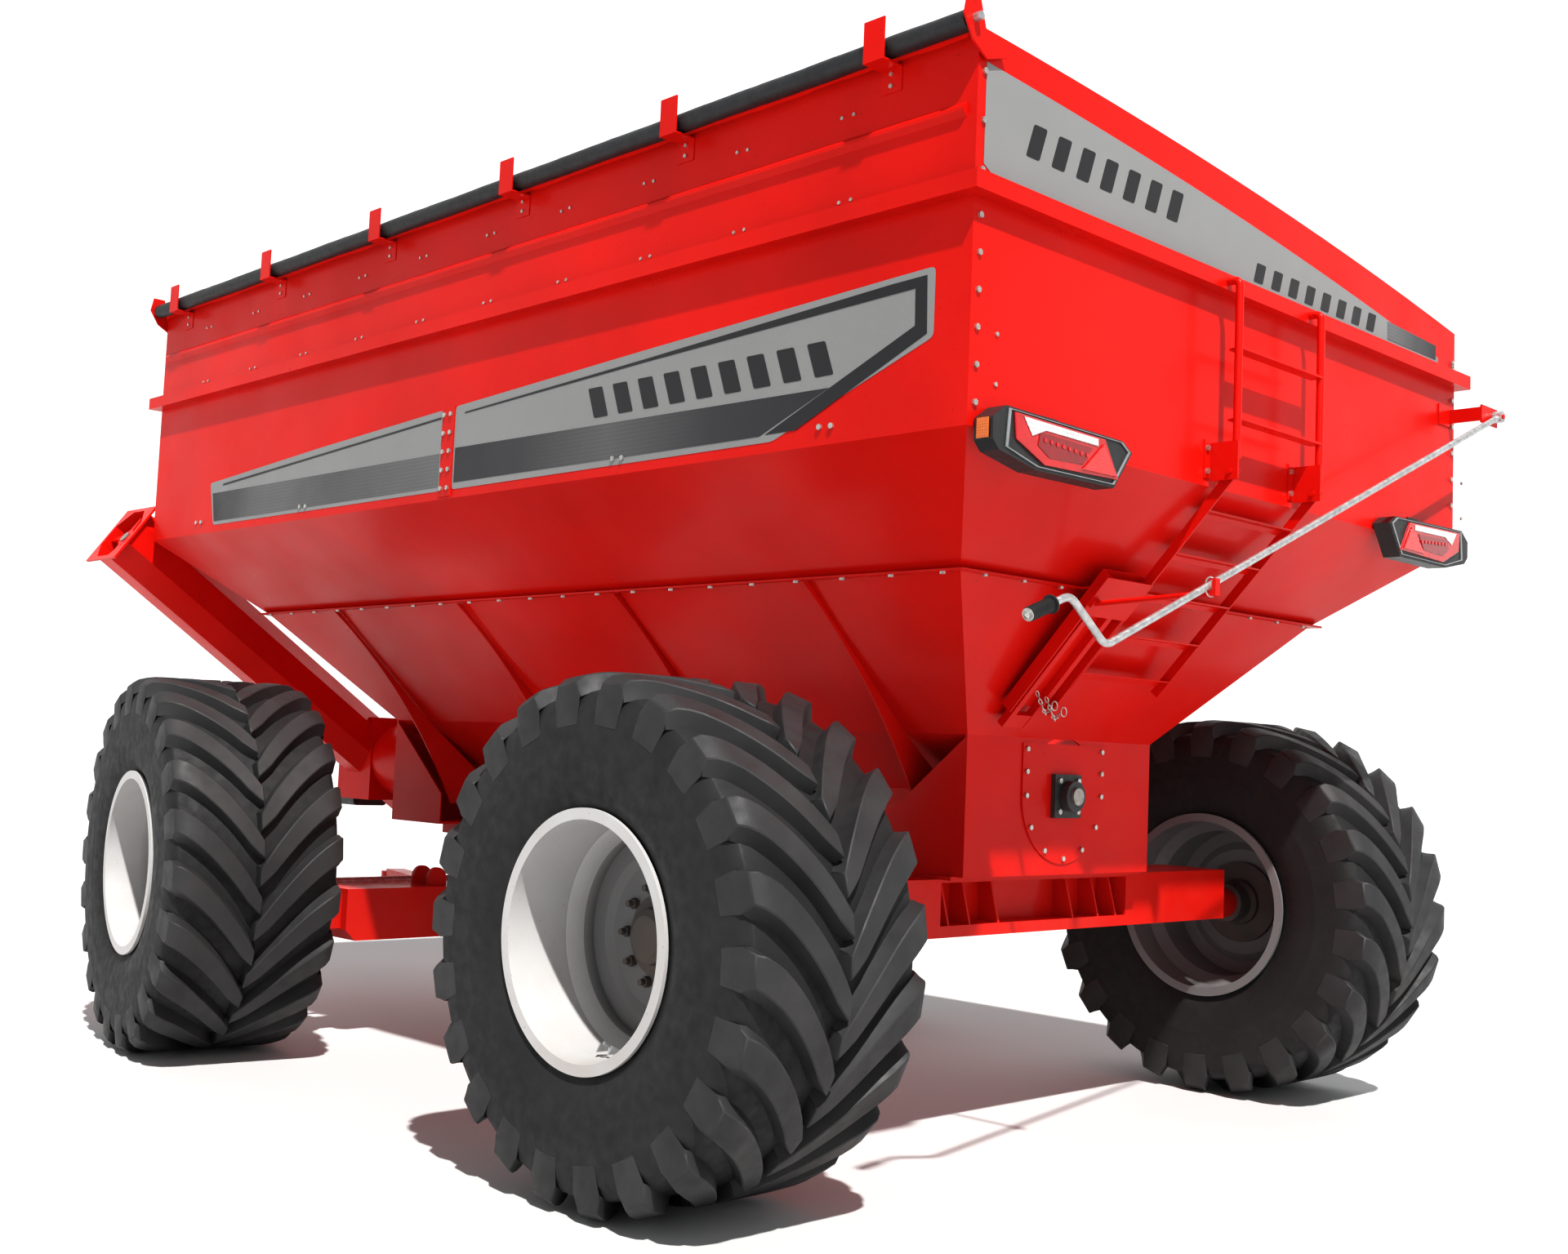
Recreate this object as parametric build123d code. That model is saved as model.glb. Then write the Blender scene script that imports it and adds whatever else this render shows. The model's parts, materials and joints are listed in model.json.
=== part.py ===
"""Four-wheel grain cart: a bolted sheet hopper on two axles, unloaded by a sump auger and a folding auger tube.

+X is forward, +Y is left, +Z is up, and the floor is z = 0.  Sizes are in millimetres.  Everything is modelled
about the middle of the hopper, and then moved along X so that the origin is under the middle of the whole cart.
"""
from build123d import *
import math
import os

# Hopper: half lengths, half widths and heights of its levels
HALF_LEN = 2880
HALF_WID = 1700
RAIL_Z = 3278
CREASE_Z = 2551
SEAM_Z = 2174
SEAM_HALF_LEN = 2460
SEAM_HALF_WID = 1203
SUMP_TOP_Z = 1623
SUMP_HALF_LEN = 2034
SUMP_HALF_WID = 620
SUMP_BASE_Z = 1088
SHEET = 5
RAIL_OUT = 52
RAIL_HEIGHT = 60
EXT_LEFT_Z = 3820
EXT_RIGHT_Z = 3530
EXT_RISE = 45
EXT_FOLD_Z = 3560
SEAM_FLANGE = 40

# Sump auger and its trough
AUGER_Z = 1394
TROUGH_R = 250
AUGER_R = 215
AUGER_PITCH = 400
SHAFT_R = 35
COVER_R = 275

# Running gear
HALF_TRACK = 1862
REAR_AXLE_X = -1759
FRONT_AXLE_X = 1602
TYRE_R = 885
TYRE_WIDTH = 775
RIM_SEAT_R = 406
RIM_FLANGE_R = 432
RIM_WIDTH = 740
STUD_CIRCLE_R = 167.5
STUD_COUNT = 10
SPINDLE_R = 45
BORE_CLEARANCE = 0.05
REAR_BEAM = (340, 2850, 225)
REAR_BEAM_TOP = 1062
FRONT_BEAM = (280, 2400, 260)
FRONT_BEAM_TOP = 755
KINGPIN_Y = 1330
KINGPIN_R = 50
STEER_ARM = 250
WHEEL_STEER_DEG = -9.66
HEAD_ARM = 150
HEAD_X = FRONT_AXLE_X + 230
HEAD_STEER_DEG = -16.24
HITCH_PIVOT = 330
DRAWBAR_LEN = 1900
HITCH_EYE_R = 75
HITCH_HOLE_R = 27
GAP = 1.0

# Unloading tubes
TUBE_X = 3120
TUBE_ANGLE_DEG = 35
TUBE_BASE_Z = 1350
TUBE_FLATS = 340
TUBE_WALL = 5
LOWER_REACH = 2173
UPPER_LEN = 2400
FLANGE_HALF = 188
FOLD_BACK = 150
FOLD_UP = 240
FOLD_DEG = 180 - TUBE_ANGLE_DEG

# Rear furniture
LADDER_LEFT_Y = 300
LADDER_RIGHT_Y = -300
LADDER_TUBE_R = 15
HANDRAIL_OUT = 100
LADDER_HINGE_Z = 2600
CRANK_PLANE = 175
CRANK_R = 13

solids = {}


def face(points):
    return make_face(Polyline(*points, close=True))


def box(x0, x1, y0, y1, z0, z1):
    centre = Pos((x0 + x1) / 2, (y0 + y1) / 2, (z0 + z1) / 2)
    return centre * Box(abs(x1 - x0), abs(y1 - y0), abs(z1 - z0))


def rod(start, end, radius):
    start = Vector(*start)
    run = Vector(*end) - start
    return extrude(Plane(origin=start, z_dir=run) * Circle(radius), amount=run.length)


def prism(points, run):
    """Polygon through 3D points, extruded along a vector."""
    run = Vector(*run)
    return extrude(face(points), amount=run.length, dir=run.normalized())


def group(pieces):
    return Compound(children=[solid for piece in pieces for solid in piece.solids()])


def turn(shape, deg, axis_point, axis_dir=(0, 0, 1)):
    return shape.rotate(Axis(axis_point, axis_dir), deg)


def bolt_head(at, out, radius=11, height=9):
    at = Vector(*at)
    return extrude(Plane(origin=at, z_dir=out) * RegularPolygon(radius, 6), amount=height)


# ---------------------------------------------------------------- hopper
def wall_section(side, z, half_len, half_wid):
    """Mitred strip of sheet at one height, for one of the four sides."""
    out, inn = (half_len, half_wid), (half_len - SHEET, half_wid - SHEET)
    corners = {
        "left": [(-out[0], out[1]), (out[0], out[1]), (inn[0], inn[1]), (-inn[0], inn[1])],
        "right": [(-out[0], -out[1]), (out[0], -out[1]), (inn[0], -inn[1]), (-inn[0], -inn[1])],
        "front": [(out[0], -out[1]), (out[0], out[1]), (inn[0], inn[1]), (inn[0], -inn[1])],
        "rear": [(-out[0], -out[1]), (-out[0], out[1]), (-inn[0], inn[1]), (-inn[0], -inn[1])],
    }[side]
    return face([(x, y, z) for x, y in corners])


def wall(side, levels):
    """Sheet wall through levels of (z, half length, half width), listed from the top down."""
    bands = []
    for upper, lower in zip(levels, levels[1:]):
        bands.append(loft([wall_section(side, *lower), wall_section(side, *upper)], ruled=True))
    joined = bands[0]
    for band in bands[1:]:
        joined = joined + band
    return joined


rail_level = (RAIL_Z, HALF_LEN, HALF_WID)
crease_level = (CREASE_Z, HALF_LEN, HALF_WID)
seam_level = (SEAM_Z, SEAM_HALF_LEN, SEAM_HALF_WID)
sump_level = (SUMP_TOP_Z, SUMP_HALF_LEN, SUMP_HALF_WID)

for side in ("left", "right", "front", "rear"):
    kind = "side" if side in ("left", "right") else "end"
    solids[f"hopper_{kind}_{side}"] = wall(side, [rail_level, crease_level, seam_level])
    solids[f"funnel_{kind}_{side}"] = wall(side, [seam_level, sump_level])

rail_outer = Pos(0, 0, RAIL_Z + RAIL_HEIGHT / 2) * Box(2 * (HALF_LEN + RAIL_OUT), 2 * (HALF_WID + RAIL_OUT), RAIL_HEIGHT)
rail_inner = Pos(0, 0, RAIL_Z + RAIL_HEIGHT / 2) * Box(2 * HALF_LEN, 2 * HALF_WID, RAIL_HEIGHT + 2)
rail_web = Pos(0, 0, RAIL_Z + RAIL_HEIGHT / 2 + 6) * Box(
    2 * (HALF_LEN + RAIL_OUT - 6), 2 * (HALF_WID + RAIL_OUT - 6), RAIL_HEIGHT
)
solids["top_rail"] = rail_outer - (rail_web + rail_inner)

seam_outer = Pos(0, 0, SEAM_Z) * Box(2 * (SEAM_HALF_LEN + SEAM_FLANGE), 2 * (SEAM_HALF_WID + SEAM_FLANGE), 8)
seam_inner = Pos(0, 0, SEAM_Z) * Box(2 * (SEAM_HALF_LEN + 6), 2 * (SEAM_HALF_WID + 6), 10)
seam_flange = seam_outer - seam_inner


def extension_side(sign, top_z):
    """Sheet side of the extension, with a shallow pressed rib along it and a lip under its top edge."""
    y = sign * HALF_WID
    half = HALF_LEN - SHEET
    sheet = box(-half, half, y, y - sign * SHEET, RAIL_Z, top_z)
    lip = box(-half, half, y - sign * 30, y - sign * SHEET, top_z - 6, top_z)
    return sheet + lip


def extension_rib():
    rib_points = [(0, 0), (18, 18), (18, 30), (0, 48)]
    start = -HALF_LEN + 40
    outline = [(start, HALF_WID + out, EXT_FOLD_Z + up - 24) for out, up in rib_points]
    return prism(outline, (2 * (HALF_LEN - 40), 0, 0))


def extension_end(sign):
    """End sheet whose top edge bows up from the high left side to the low right side, with a turned-in lip."""
    x = sign * HALF_LEN
    left = (x, HALF_WID, EXT_LEFT_Z)
    right = (x, -HALF_WID, EXT_RIGHT_Z)
    crown = (x, 0, (EXT_LEFT_Z + EXT_RIGHT_Z) / 2 + EXT_RISE)
    top = ThreePointArc(left, crown, right)
    sides = Polyline(right, (x, -HALF_WID, RAIL_Z), (x, HALF_WID, RAIL_Z), left)
    inward = Vector(-sign, 0, 0)
    sheet = extrude(make_face(Curve() + [top, sides]), amount=SHEET, dir=inward)
    low_left = (x, HALF_WID - 40, EXT_LEFT_Z - 8)
    low_right = (x, -HALF_WID + 40, EXT_RIGHT_Z - 2)
    band_left = (x, HALF_WID - 40, EXT_LEFT_Z - 14)
    band_right = (x, -HALF_WID + 40, EXT_RIGHT_Z - 8)
    upper = ThreePointArc(low_left, (x, 0, crown[2] - 1), low_right)
    lower = ThreePointArc(band_right, (x, 0, crown[2] - 7), band_left)
    ends = [Line(low_right, band_right), Line(band_left, low_left)]
    lip = extrude(make_face(Curve() + [upper, lower] + ends), amount=45, dir=inward)
    return sheet + lip


solids["extension_left"] = extension_side(1, EXT_LEFT_Z) + extension_rib()
solids["extension_right"] = extension_side(-1, EXT_RIGHT_Z)
solids["extension_front"] = extension_end(1)
solids["extension_rear"] = extension_end(-1)

splice = box(-45, 45, HALF_WID, HALF_WID + 6, CREASE_Z + 10, CREASE_Z + 400)
solids["seam_strips"] = group([seam_flange, splice, splice.mirror(Plane.XZ)])


# ---------------------------------------------------------------- funnel ribs
RIB_XS = (-1715, -587, 587, 1715)
RIB_THICK = 10
RIB_LOW_Z = 1180


def funnel_half_width(z):
    share = (SEAM_Z - z) / (SEAM_Z - SUMP_TOP_Z)
    return SEAM_HALF_WID + (SUMP_HALF_WID - SEAM_HALF_WID) * share


def funnel_rib(x, sign):
    """Upright rib outside the funnel: straight along the sheet, hollowed along its free edge."""
    top = (x, sign * (SEAM_HALF_WID - 4), SEAM_Z - 8)
    knee = (x, sign * (SUMP_HALF_WID + 1), SUMP_TOP_Z - 3)
    foot_in = (x, sign * (TROUGH_R + 12), AUGER_Z - 60)
    foot_low = (x, sign * (TROUGH_R + 60), RIB_LOW_Z)
    foot_out = (x, sign * (TROUGH_R + 210), RIB_LOW_Z)
    tip = (x, sign * (SEAM_HALF_WID + 30), SEAM_Z - 8)
    hollow = (x, sign * (SUMP_HALF_WID + 250), SUMP_TOP_Z + 190)
    outer = ThreePointArc(foot_out, hollow, tip)
    inner = Polyline(tip, top, knee, foot_in, foot_low, foot_out)
    return extrude(make_face(Curve() + [outer, inner]), amount=RIB_THICK / 2, both=True)


TROUGH_SHEET = 6


def trough_profile(x, grow):
    """Cross-section of the sump: two slopes meeting a half-round bottom."""
    wide, radius = SUMP_HALF_WID + grow, TROUGH_R + grow
    bottom = ThreePointArc((x, radius, AUGER_Z), (x, 0, AUGER_Z - radius), (x, -radius, AUGER_Z))
    rest = Polyline((x, -radius, AUGER_Z), (x, -wide, SUMP_TOP_Z), (x, wide, SUMP_TOP_Z), (x, radius, AUGER_Z))
    return make_face(Curve() + [bottom, rest])


trough_len = 2 * (SUMP_HALF_LEN - 12)
trough_start = -SUMP_HALF_LEN + 12
trough_outer = extrude(trough_profile(trough_start, 0), amount=trough_len, dir=(1, 0, 0))
trough_inner = extrude(trough_profile(trough_start - 5, -TROUGH_SHEET), amount=trough_len + 10, dir=(1, 0, 0))
solids["sump_trough"] = trough_outer - trough_inner
trough_solid = extrude(trough_profile(trough_start, 1), amount=trough_len, dir=(1, 0, 0))
ribs = [funnel_rib(x, sign) - trough_solid for x in RIB_XS for sign in (1, -1)]
solids["funnel_ribs"] = group(ribs)


def sump_end(sign, hole_r):
    """Upright end plate of the sump with side cheeks and a foot, which stands on the axle."""
    x = sign * SUMP_HALF_LEN
    inner = x - sign * 10
    plate = box(x, inner, -SUMP_HALF_WID, SUMP_HALF_WID, SUMP_BASE_Z, SUMP_TOP_Z)
    reach = x - sign * 470
    cheeks = [
        prism([(inner, s * SUMP_HALF_WID, SUMP_BASE_Z), (inner, s * SUMP_HALF_WID, SUMP_TOP_Z - 12),
               (reach, s * SUMP_HALF_WID, SUMP_BASE_Z + 150), (reach, s * SUMP_HALF_WID, SUMP_BASE_Z)],
              (0, -s * 8, 0))
        for s in (1, -1)
    ]
    foot = box(x, reach, -SUMP_HALF_WID, SUMP_HALF_WID, SUMP_BASE_Z - 12, SUMP_BASE_Z)
    hole = rod((x - 60, 0, AUGER_Z), (x + 60, 0, AUGER_Z), hole_r)
    body = plate + foot
    for cheek in cheeks:
        body = body + cheek
    return body - hole


solids["sump_end_rear"] = sump_end(-1, TROUGH_R - 12)
solids["sump_end_front"] = sump_end(1, TROUGH_R - 30)


def cover_bolts(radius, x):
    """Bolts round the half-round foot of the sump cover and up its straight sides."""
    spots = []
    for step in range(7):
        angle = math.pi * step / 6
        spots.append(bolt_head((x, radius * math.cos(angle), AUGER_Z - radius * math.sin(angle)), (-1, 0, 0)))
    for y in (-radius, radius):
        for up in (95, 185):
            spots.append(bolt_head((x, y, AUGER_Z + up), (-1, 0, 0)))
    return spots


cover_x = -SUMP_HALF_LEN - 6
cover = rod((-SUMP_HALF_LEN, 0, AUGER_Z), (cover_x, 0, AUGER_Z), COVER_R)
cover = cover + box(-SUMP_HALF_LEN, cover_x, -COVER_R, COVER_R, AUGER_Z, SUMP_TOP_Z - 20)
cover = cover - box(-SUMP_HALF_LEN + 1, cover_x - 1, -COVER_R - 1, COVER_R + 1, SUMP_TOP_Z - 20, SUMP_TOP_Z + COVER_R)
cover = cover - rod((-SUMP_HALF_LEN + 5, 0, AUGER_Z), (cover_x - 5, 0, AUGER_Z), SHAFT_R + 4)
solids["sump_cover"] = cover

bearing_half = 88
bearing = box(cover_x - 22, cover_x, -bearing_half, bearing_half, AUGER_Z - bearing_half, AUGER_Z + bearing_half)
bearing = bearing + rod((cover_x - 20, 0, AUGER_Z), (cover_x - 62, 0, AUGER_Z), 62)
bearing = bearing - rod((cover_x + 5, 0, AUGER_Z), (cover_x - 70, 0, AUGER_Z), SHAFT_R + BORE_CLEARANCE)
solids["auger_bearing"] = bearing


# ---------------------------------------------------------------- sump auger
def auger(shaft_start, shaft_end, flight_start, flight_len, flight_r, shaft_r, pitch):
    """Auger along local +Z: a plain shaft with a helical flight, as two touching solids in one body."""
    shaft = rod((0, 0, shaft_start), (0, 0, shaft_end), shaft_r)
    mid_r = (flight_r + shaft_r) / 2
    helix = Helix(pitch=pitch, height=flight_len, radius=mid_r)
    profile = Plane(origin=helix @ 0, x_dir=(1, 0, 0), z_dir=helix % 0) * Rectangle(flight_r - shaft_r + 2, 8)
    flight = Pos(0, 0, flight_start) * sweep(profile, path=helix, is_frenet=True)
    return shaft + flight


AUGER_BACK_X = cover_x - 75
AUGER_FRONT_X = 3300
horizontal = auger(0, AUGER_FRONT_X - AUGER_BACK_X, 120, 2880 - AUGER_BACK_X - 120, AUGER_R, SHAFT_R, AUGER_PITCH)
solids["sump_auger"] = Pos(AUGER_BACK_X, 0, AUGER_Z) * (Rot(0, 90, 0) * horizontal)

# ---------------------------------------------------------------- unloading tubes
tube_tilt = math.radians(TUBE_ANGLE_DEG)
ALONG = Vector(0, math.cos(tube_tilt), math.sin(tube_tilt))
ABOVE = Vector(0, -math.sin(tube_tilt), math.cos(tube_tilt))
TUBE_BASE = Vector(TUBE_X, 0, TUBE_BASE_Z)


def tube_frame(reach):
    """Plane square to the tube at a distance along it: local x is +X, local y is above the tube."""
    return Plane(origin=TUBE_BASE + ALONG * reach, x_dir=(1, 0, 0), z_dir=ALONG)


def octagon(flats):
    return Rot(0, 0, 22.5) * RegularPolygon(flats / 2, 8, major_radius=False)


def tube_body(start, length, flats):
    return extrude(tube_frame(start) * octagon(flats), amount=length)


LOWER_START = -250
TUBE_SHAFT_R = 30
TUBE_FLIGHT_PITCH = 300
TRANSFER_R = TROUGH_R - 22
BOOT_HALF = 235
boot_back = TUBE_X - TUBE_FLATS / 2 - 15
boot_front = TUBE_X + TUBE_FLATS / 2 + 15


def lower_tube_form(shrink):
    """Transfer tube, boot and inclined tube in one form, at the outside or shrunk to the inside."""
    transfer = rod((SUMP_HALF_LEN + 1 - shrink, 0, AUGER_Z), (boot_back + 10, 0, AUGER_Z), TRANSFER_R - shrink)
    boot = box(boot_back + shrink, boot_front - shrink, -BOOT_HALF + shrink, BOOT_HALF - shrink,
               AUGER_Z - TROUGH_R + shrink, AUGER_Z + TROUGH_R - shrink)
    extra = 20 if shrink else 0
    inclined = tube_body(LOWER_START + 2 * shrink, LOWER_REACH - LOWER_START - 2 * shrink + extra, TUBE_FLATS - 2 * shrink)
    return transfer + boot + inclined


def square_flange(reach, thick):
    plate = extrude(tube_frame(reach) * Rectangle(2 * FLANGE_HALF, 2 * FLANGE_HALF), amount=thick)
    return plate - extrude(tube_frame(reach - 5) * octagon(TUBE_FLATS - 1), amount=thick + 10)


def tube_lug(x0, x1, outline):
    """Hinge plate between two X planes, outlined in distances along and above the tube."""
    points = [Vector(x0, 0, 0) + (TUBE_BASE - Vector(TUBE_X, 0, 0)) + ALONG * a + ABOVE * b for a, b in outline]
    return extrude(face(points), amount=abs(x1 - x0), dir=(math.copysign(1, x1 - x0), 0, 0))


fold_at = LOWER_REACH - FOLD_BACK
FOLD_POINT = TUBE_BASE + ALONG * fold_at + ABOVE * FOLD_UP
FOLD_PIN_R = 20
half_flats = TUBE_FLATS / 2
lug_low = [(fold_at - 120, half_flats - 1), (fold_at - 35, FOLD_UP + 35), (fold_at + 35, FOLD_UP + 35),
           (fold_at + 60, half_flats - 1)]
lower = lower_tube_form(0) - lower_tube_form(TUBE_WALL) + square_flange(LOWER_REACH - 12, 12)
for x_out in (-66, 54):
    lower = lower + tube_lug(TUBE_X + x_out, TUBE_X + x_out + 12, lug_low)
fold_pin_low = FOLD_POINT - Vector(80, 0, 0)
fold_pin_high = FOLD_POINT + Vector(80, 0, 0)
fold_pin = rod(fold_pin_low, fold_pin_high, FOLD_PIN_R)
gear_hole = rod((boot_front - 20, 0, AUGER_Z), (boot_front + 20, 0, AUGER_Z), SHAFT_R + 5)


def tube_bearing(reach):
    """Crossed bars across a tube that carry its auger shaft in a bushed boss."""
    cross = tube_frame(reach) * (Rectangle(TUBE_FLATS - 4, 30) + Rectangle(30, TUBE_FLATS - 4) + Circle(55))
    return extrude(cross, amount=16) - extrude(tube_frame(reach - 5) * Circle(TUBE_SHAFT_R + BORE_CLEARANCE), amount=26)


solids["unload_tube_lower"] = lower + fold_pin + tube_bearing(LOWER_REACH - 48) - gear_hole

upper = tube_body(LOWER_REACH + 1, UPPER_LEN, TUBE_FLATS)
upper = upper - tube_body(LOWER_REACH - 5, UPPER_LEN + 10, TUBE_FLATS - 2 * TUBE_WALL)
upper = upper + square_flange(LOWER_REACH + 1, 12)
upper = upper + tube_bearing(LOWER_REACH + 18) + tube_bearing(LOWER_REACH + UPPER_LEN - 84)
lug_high = [(fold_at - 35, FOLD_UP - 36), (fold_at - 35, FOLD_UP + 35), (LOWER_REACH + 60, FOLD_UP + 35),
            (LOWER_REACH + 200, half_flats - 1), (LOWER_REACH + 13, half_flats - 1), (LOWER_REACH + 13, FOLD_UP - 36)]
for x_out in (-50, 38):
    upper = upper + tube_lug(TUBE_X + x_out, TUBE_X + x_out + 12, lug_high)
upper = upper - rod(fold_pin_low, fold_pin_high, FOLD_PIN_R + BORE_CLEARANCE)

spout_at = LOWER_REACH + UPPER_LEN
spout_outline = [(spout_at + 1, -half_flats), (spout_at + 1, half_flats + 8), (spout_at + 60, half_flats + 8),
                 (spout_at + 300, half_flats - 150), (spout_at + 330, -half_flats - 240),
                 (spout_at + 40, -half_flats - 240)]
spout_x = half_flats + 14
spout = tube_lug(TUBE_X - spout_x, TUBE_X + spout_x, spout_outline)
spout_inside = [(spout_at - 5, -half_flats + 6), (spout_at - 5, half_flats - 6), (spout_at + 52, half_flats),
                (spout_at + 288, half_flats - 152), (spout_at + 318, -half_flats - 260), (spout_at + 46, -half_flats - 260)]
spout = spout - tube_lug(TUBE_X - spout_x + 6, TUBE_X + spout_x - 6, spout_inside)

TUBE_FLIGHT_R = half_flats - 22
upper_auger = auger(0, UPPER_LEN - 40, 45, UPPER_LEN - 150, TUBE_FLIGHT_R, TUBE_SHAFT_R, TUBE_FLIGHT_PITCH)
lower_auger = auger(0, LOWER_REACH - 120, 60, LOWER_REACH - 220, TUBE_FLIGHT_R, TUBE_SHAFT_R, TUBE_FLIGHT_PITCH)


def along_tube(shape, reach):
    return Location(tube_frame(reach)) * shape


def folded(shape):
    return turn(shape, FOLD_DEG, FOLD_POINT, (1, 0, 0))


solids["unload_auger_lower"] = along_tube(lower_auger, 96)
solids["unload_tube_upper"] = folded(upper)
solids["unload_auger_upper"] = folded(along_tube(upper_auger, LOWER_REACH + 10))
solids["unload_spout"] = folded(spout)

gearbox = box(boot_front, boot_front + 190, -120, 120, AUGER_Z - 300, AUGER_Z + 110)
gearbox = fillet(gearbox.edges().filter_by(Axis.X), 30)
gearbox = gearbox - rod((boot_front - 5, 0, AUGER_Z), (boot_front + 30, 0, AUGER_Z), SHAFT_R + BORE_CLEARANCE)
PTO_Z = AUGER_Z - 200
PTO_R = 17.45
pto_hub = rod((boot_front + 190, 0, PTO_Z), (boot_front + 215, 0, PTO_Z), 55)
PTO_JOURNAL_R = 22
pto_bore = rod((boot_front + 60, 0, PTO_Z), (boot_front + 220, 0, PTO_Z), PTO_JOURNAL_R + BORE_CLEARANCE)
solids["gearbox"] = gearbox + pto_hub - pto_bore
pto_journal = rod((boot_front + 62, 0, PTO_Z), (boot_front + 217, 0, PTO_Z), PTO_JOURNAL_R)
solids["pto_input_shaft"] = pto_journal + rod((boot_front + 216, 0, PTO_Z), (boot_front + 332, 0, PTO_Z), PTO_R)


# ---------------------------------------------------------------- wheels, built with the outer side towards +Y
DISC_AT = 20
HUB_NOSE = 78


def revolve_profile(points):
    """Closed profile of (distance outboard, radius) turned about the wheel's axis."""
    outline = [(0, along, radius) for along, radius in points]
    return revolve(face(outline), axis=Axis((0, 0, 0), (0, 1, 0)))


def make_rim():
    half = RIM_WIDTH / 2
    skin = 12
    seat = RIM_SEAT_R
    well = seat - 45
    outer = [(-half, RIM_FLANGE_R), (-half + 14, RIM_FLANGE_R), (-half + 22, seat), (-half + 150, seat - 3),
             (-half + 200, well), (half - 290, well), (half - 240, seat - 3), (half - 22, seat),
             (half - 14, RIM_FLANGE_R), (half, RIM_FLANGE_R)]
    inner = [(half, seat - skin), (half - 245, seat - 3 - skin), (half - 292, well - skin),
             (DISC_AT + 14, well - skin), (DISC_AT + 14, 285), (DISC_AT, 250), (DISC_AT, 141), (DISC_AT - 14, 141),
             (DISC_AT - 14, 256), (DISC_AT, 292), (DISC_AT - 14, well - skin), (-half + 198, well - skin),
             (-half + 145, seat - 3 - skin), (-half, seat - skin)]
    rim = revolve_profile(outer + inner)
    for step in range(STUD_COUNT):
        angle = 2 * math.pi * step / STUD_COUNT
        x, z = STUD_CIRCLE_R * math.cos(angle), STUD_CIRCLE_R * math.sin(angle)
        rim = rim - rod((x, DISC_AT - 30, z), (x, DISC_AT + 30, z), 12)
    return rim


def make_tyre():
    half = TYRE_WIDTH / 2
    bead = RIM_WIDTH / 2 - 23
    foot = RIM_SEAT_R + 0.3
    outer = [(-bead, foot), (-bead, RIM_FLANGE_R + 12), (-half, 600), (-half, 700), (-half + 22, 830), (-half + 75, 868),
             (-half + 200, TYRE_R), (half - 200, TYRE_R), (half - 75, 868), (half - 22, 830), (half, 700), (half, 600),
             (bead, RIM_FLANGE_R + 12), (bead, foot)]
    inner = [(bead - 45, foot), (bead - 35, 470), (half - 40, 600), (half - 40, 700), (half - 95, 800),
             (-half + 95, 800), (-half + 40, 700), (-half + 40, 600), (-bead + 35, 470), (-bead + 45, foot)]
    return revolve_profile(outer + inner)


def make_hub():
    """Hub barrel, stud flange and grease cap, with its wheel nuts as separate solids."""
    profile = [(-150, 92), (-60, 92), (-40, 110), (DISC_AT - 34, 110), (DISC_AT - 34, 195), (DISC_AT - 14, 195),
               (DISC_AT - 14, 138), (DISC_AT + 18, 138), (DISC_AT + 24, 100), (HUB_NOSE, 92), (HUB_NOSE + 14, 70),
               (HUB_NOSE + 14, 0), (HUB_NOSE - 12, 0), (HUB_NOSE - 12, SPINDLE_R + BORE_CLEARANCE),
               (-150, SPINDLE_R + BORE_CLEARANCE)]
    pieces = [revolve_profile(profile)]
    for step in range(STUD_COUNT):
        angle = 2 * math.pi * step / STUD_COUNT
        x, z = STUD_CIRCLE_R * math.cos(angle), STUD_CIRCLE_R * math.sin(angle)
        nut = extrude(Plane(origin=(x, DISC_AT + 0.2, z), z_dir=(0, 1, 0)) * RegularPolygon(19, 6), amount=22)
        stud = rod((x, DISC_AT + 22.2, z), (x, DISC_AT + 42, z), 11)
        pieces.append(nut + stud)
    return group(pieces)


wheel_pieces = {"rim": make_rim(), "tyre": make_tyre(), "hub": make_hub()}


def place_wheel(piece, end, sign):
    """Put a wheel piece at its axle end; the front pair stands steered about its kingpins."""
    shape = piece if sign > 0 else piece.rotate(Axis.Z, 180)
    axle_x = REAR_AXLE_X if end == "rear" else FRONT_AXLE_X
    shape = Pos(axle_x, sign * HALF_TRACK, TYRE_R) * shape
    if end == "front":
        shape = turn(shape, WHEEL_STEER_DEG, (FRONT_AXLE_X, sign * KINGPIN_Y, 0))
    return shape


for end in ("rear", "front"):
    for name, sign in (("left", 1), ("right", -1)):
        for piece_name, piece in wheel_pieces.items():
            solids[f"{piece_name}_{end}_{name}"] = place_wheel(piece, end, sign)

# ---------------------------------------------------------------- rear axle
spindle_end = HALF_TRACK + HUB_NOSE - 14
beam_base = REAR_BEAM_TOP - REAR_BEAM[2]
half_beam_x, half_beam_y = REAR_BEAM[0] / 2, REAR_BEAM[1] / 2
axle = box(REAR_AXLE_X - half_beam_x, REAR_AXLE_X + half_beam_x, -half_beam_y, half_beam_y, beam_base, REAR_BEAM_TOP)
window = box(REAR_AXLE_X - half_beam_x - 1, REAR_AXLE_X - 60, -SUMP_HALF_WID, SUMP_HALF_WID, beam_base + 45, REAR_BEAM_TOP - 14)
axle = axle - window
for y in (-560, -430, -250, 250, 430, 560):
    gusset = [(REAR_AXLE_X - half_beam_x + 4, y, beam_base + 45), (REAR_AXLE_X - 60, y, beam_base + 45),
              (REAR_AXLE_X - 60, y, REAR_BEAM_TOP - 14), (REAR_AXLE_X - half_beam_x + 50, y, REAR_BEAM_TOP - 14)]
    axle = axle + prism(gusset, (0, 10, 0))
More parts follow.
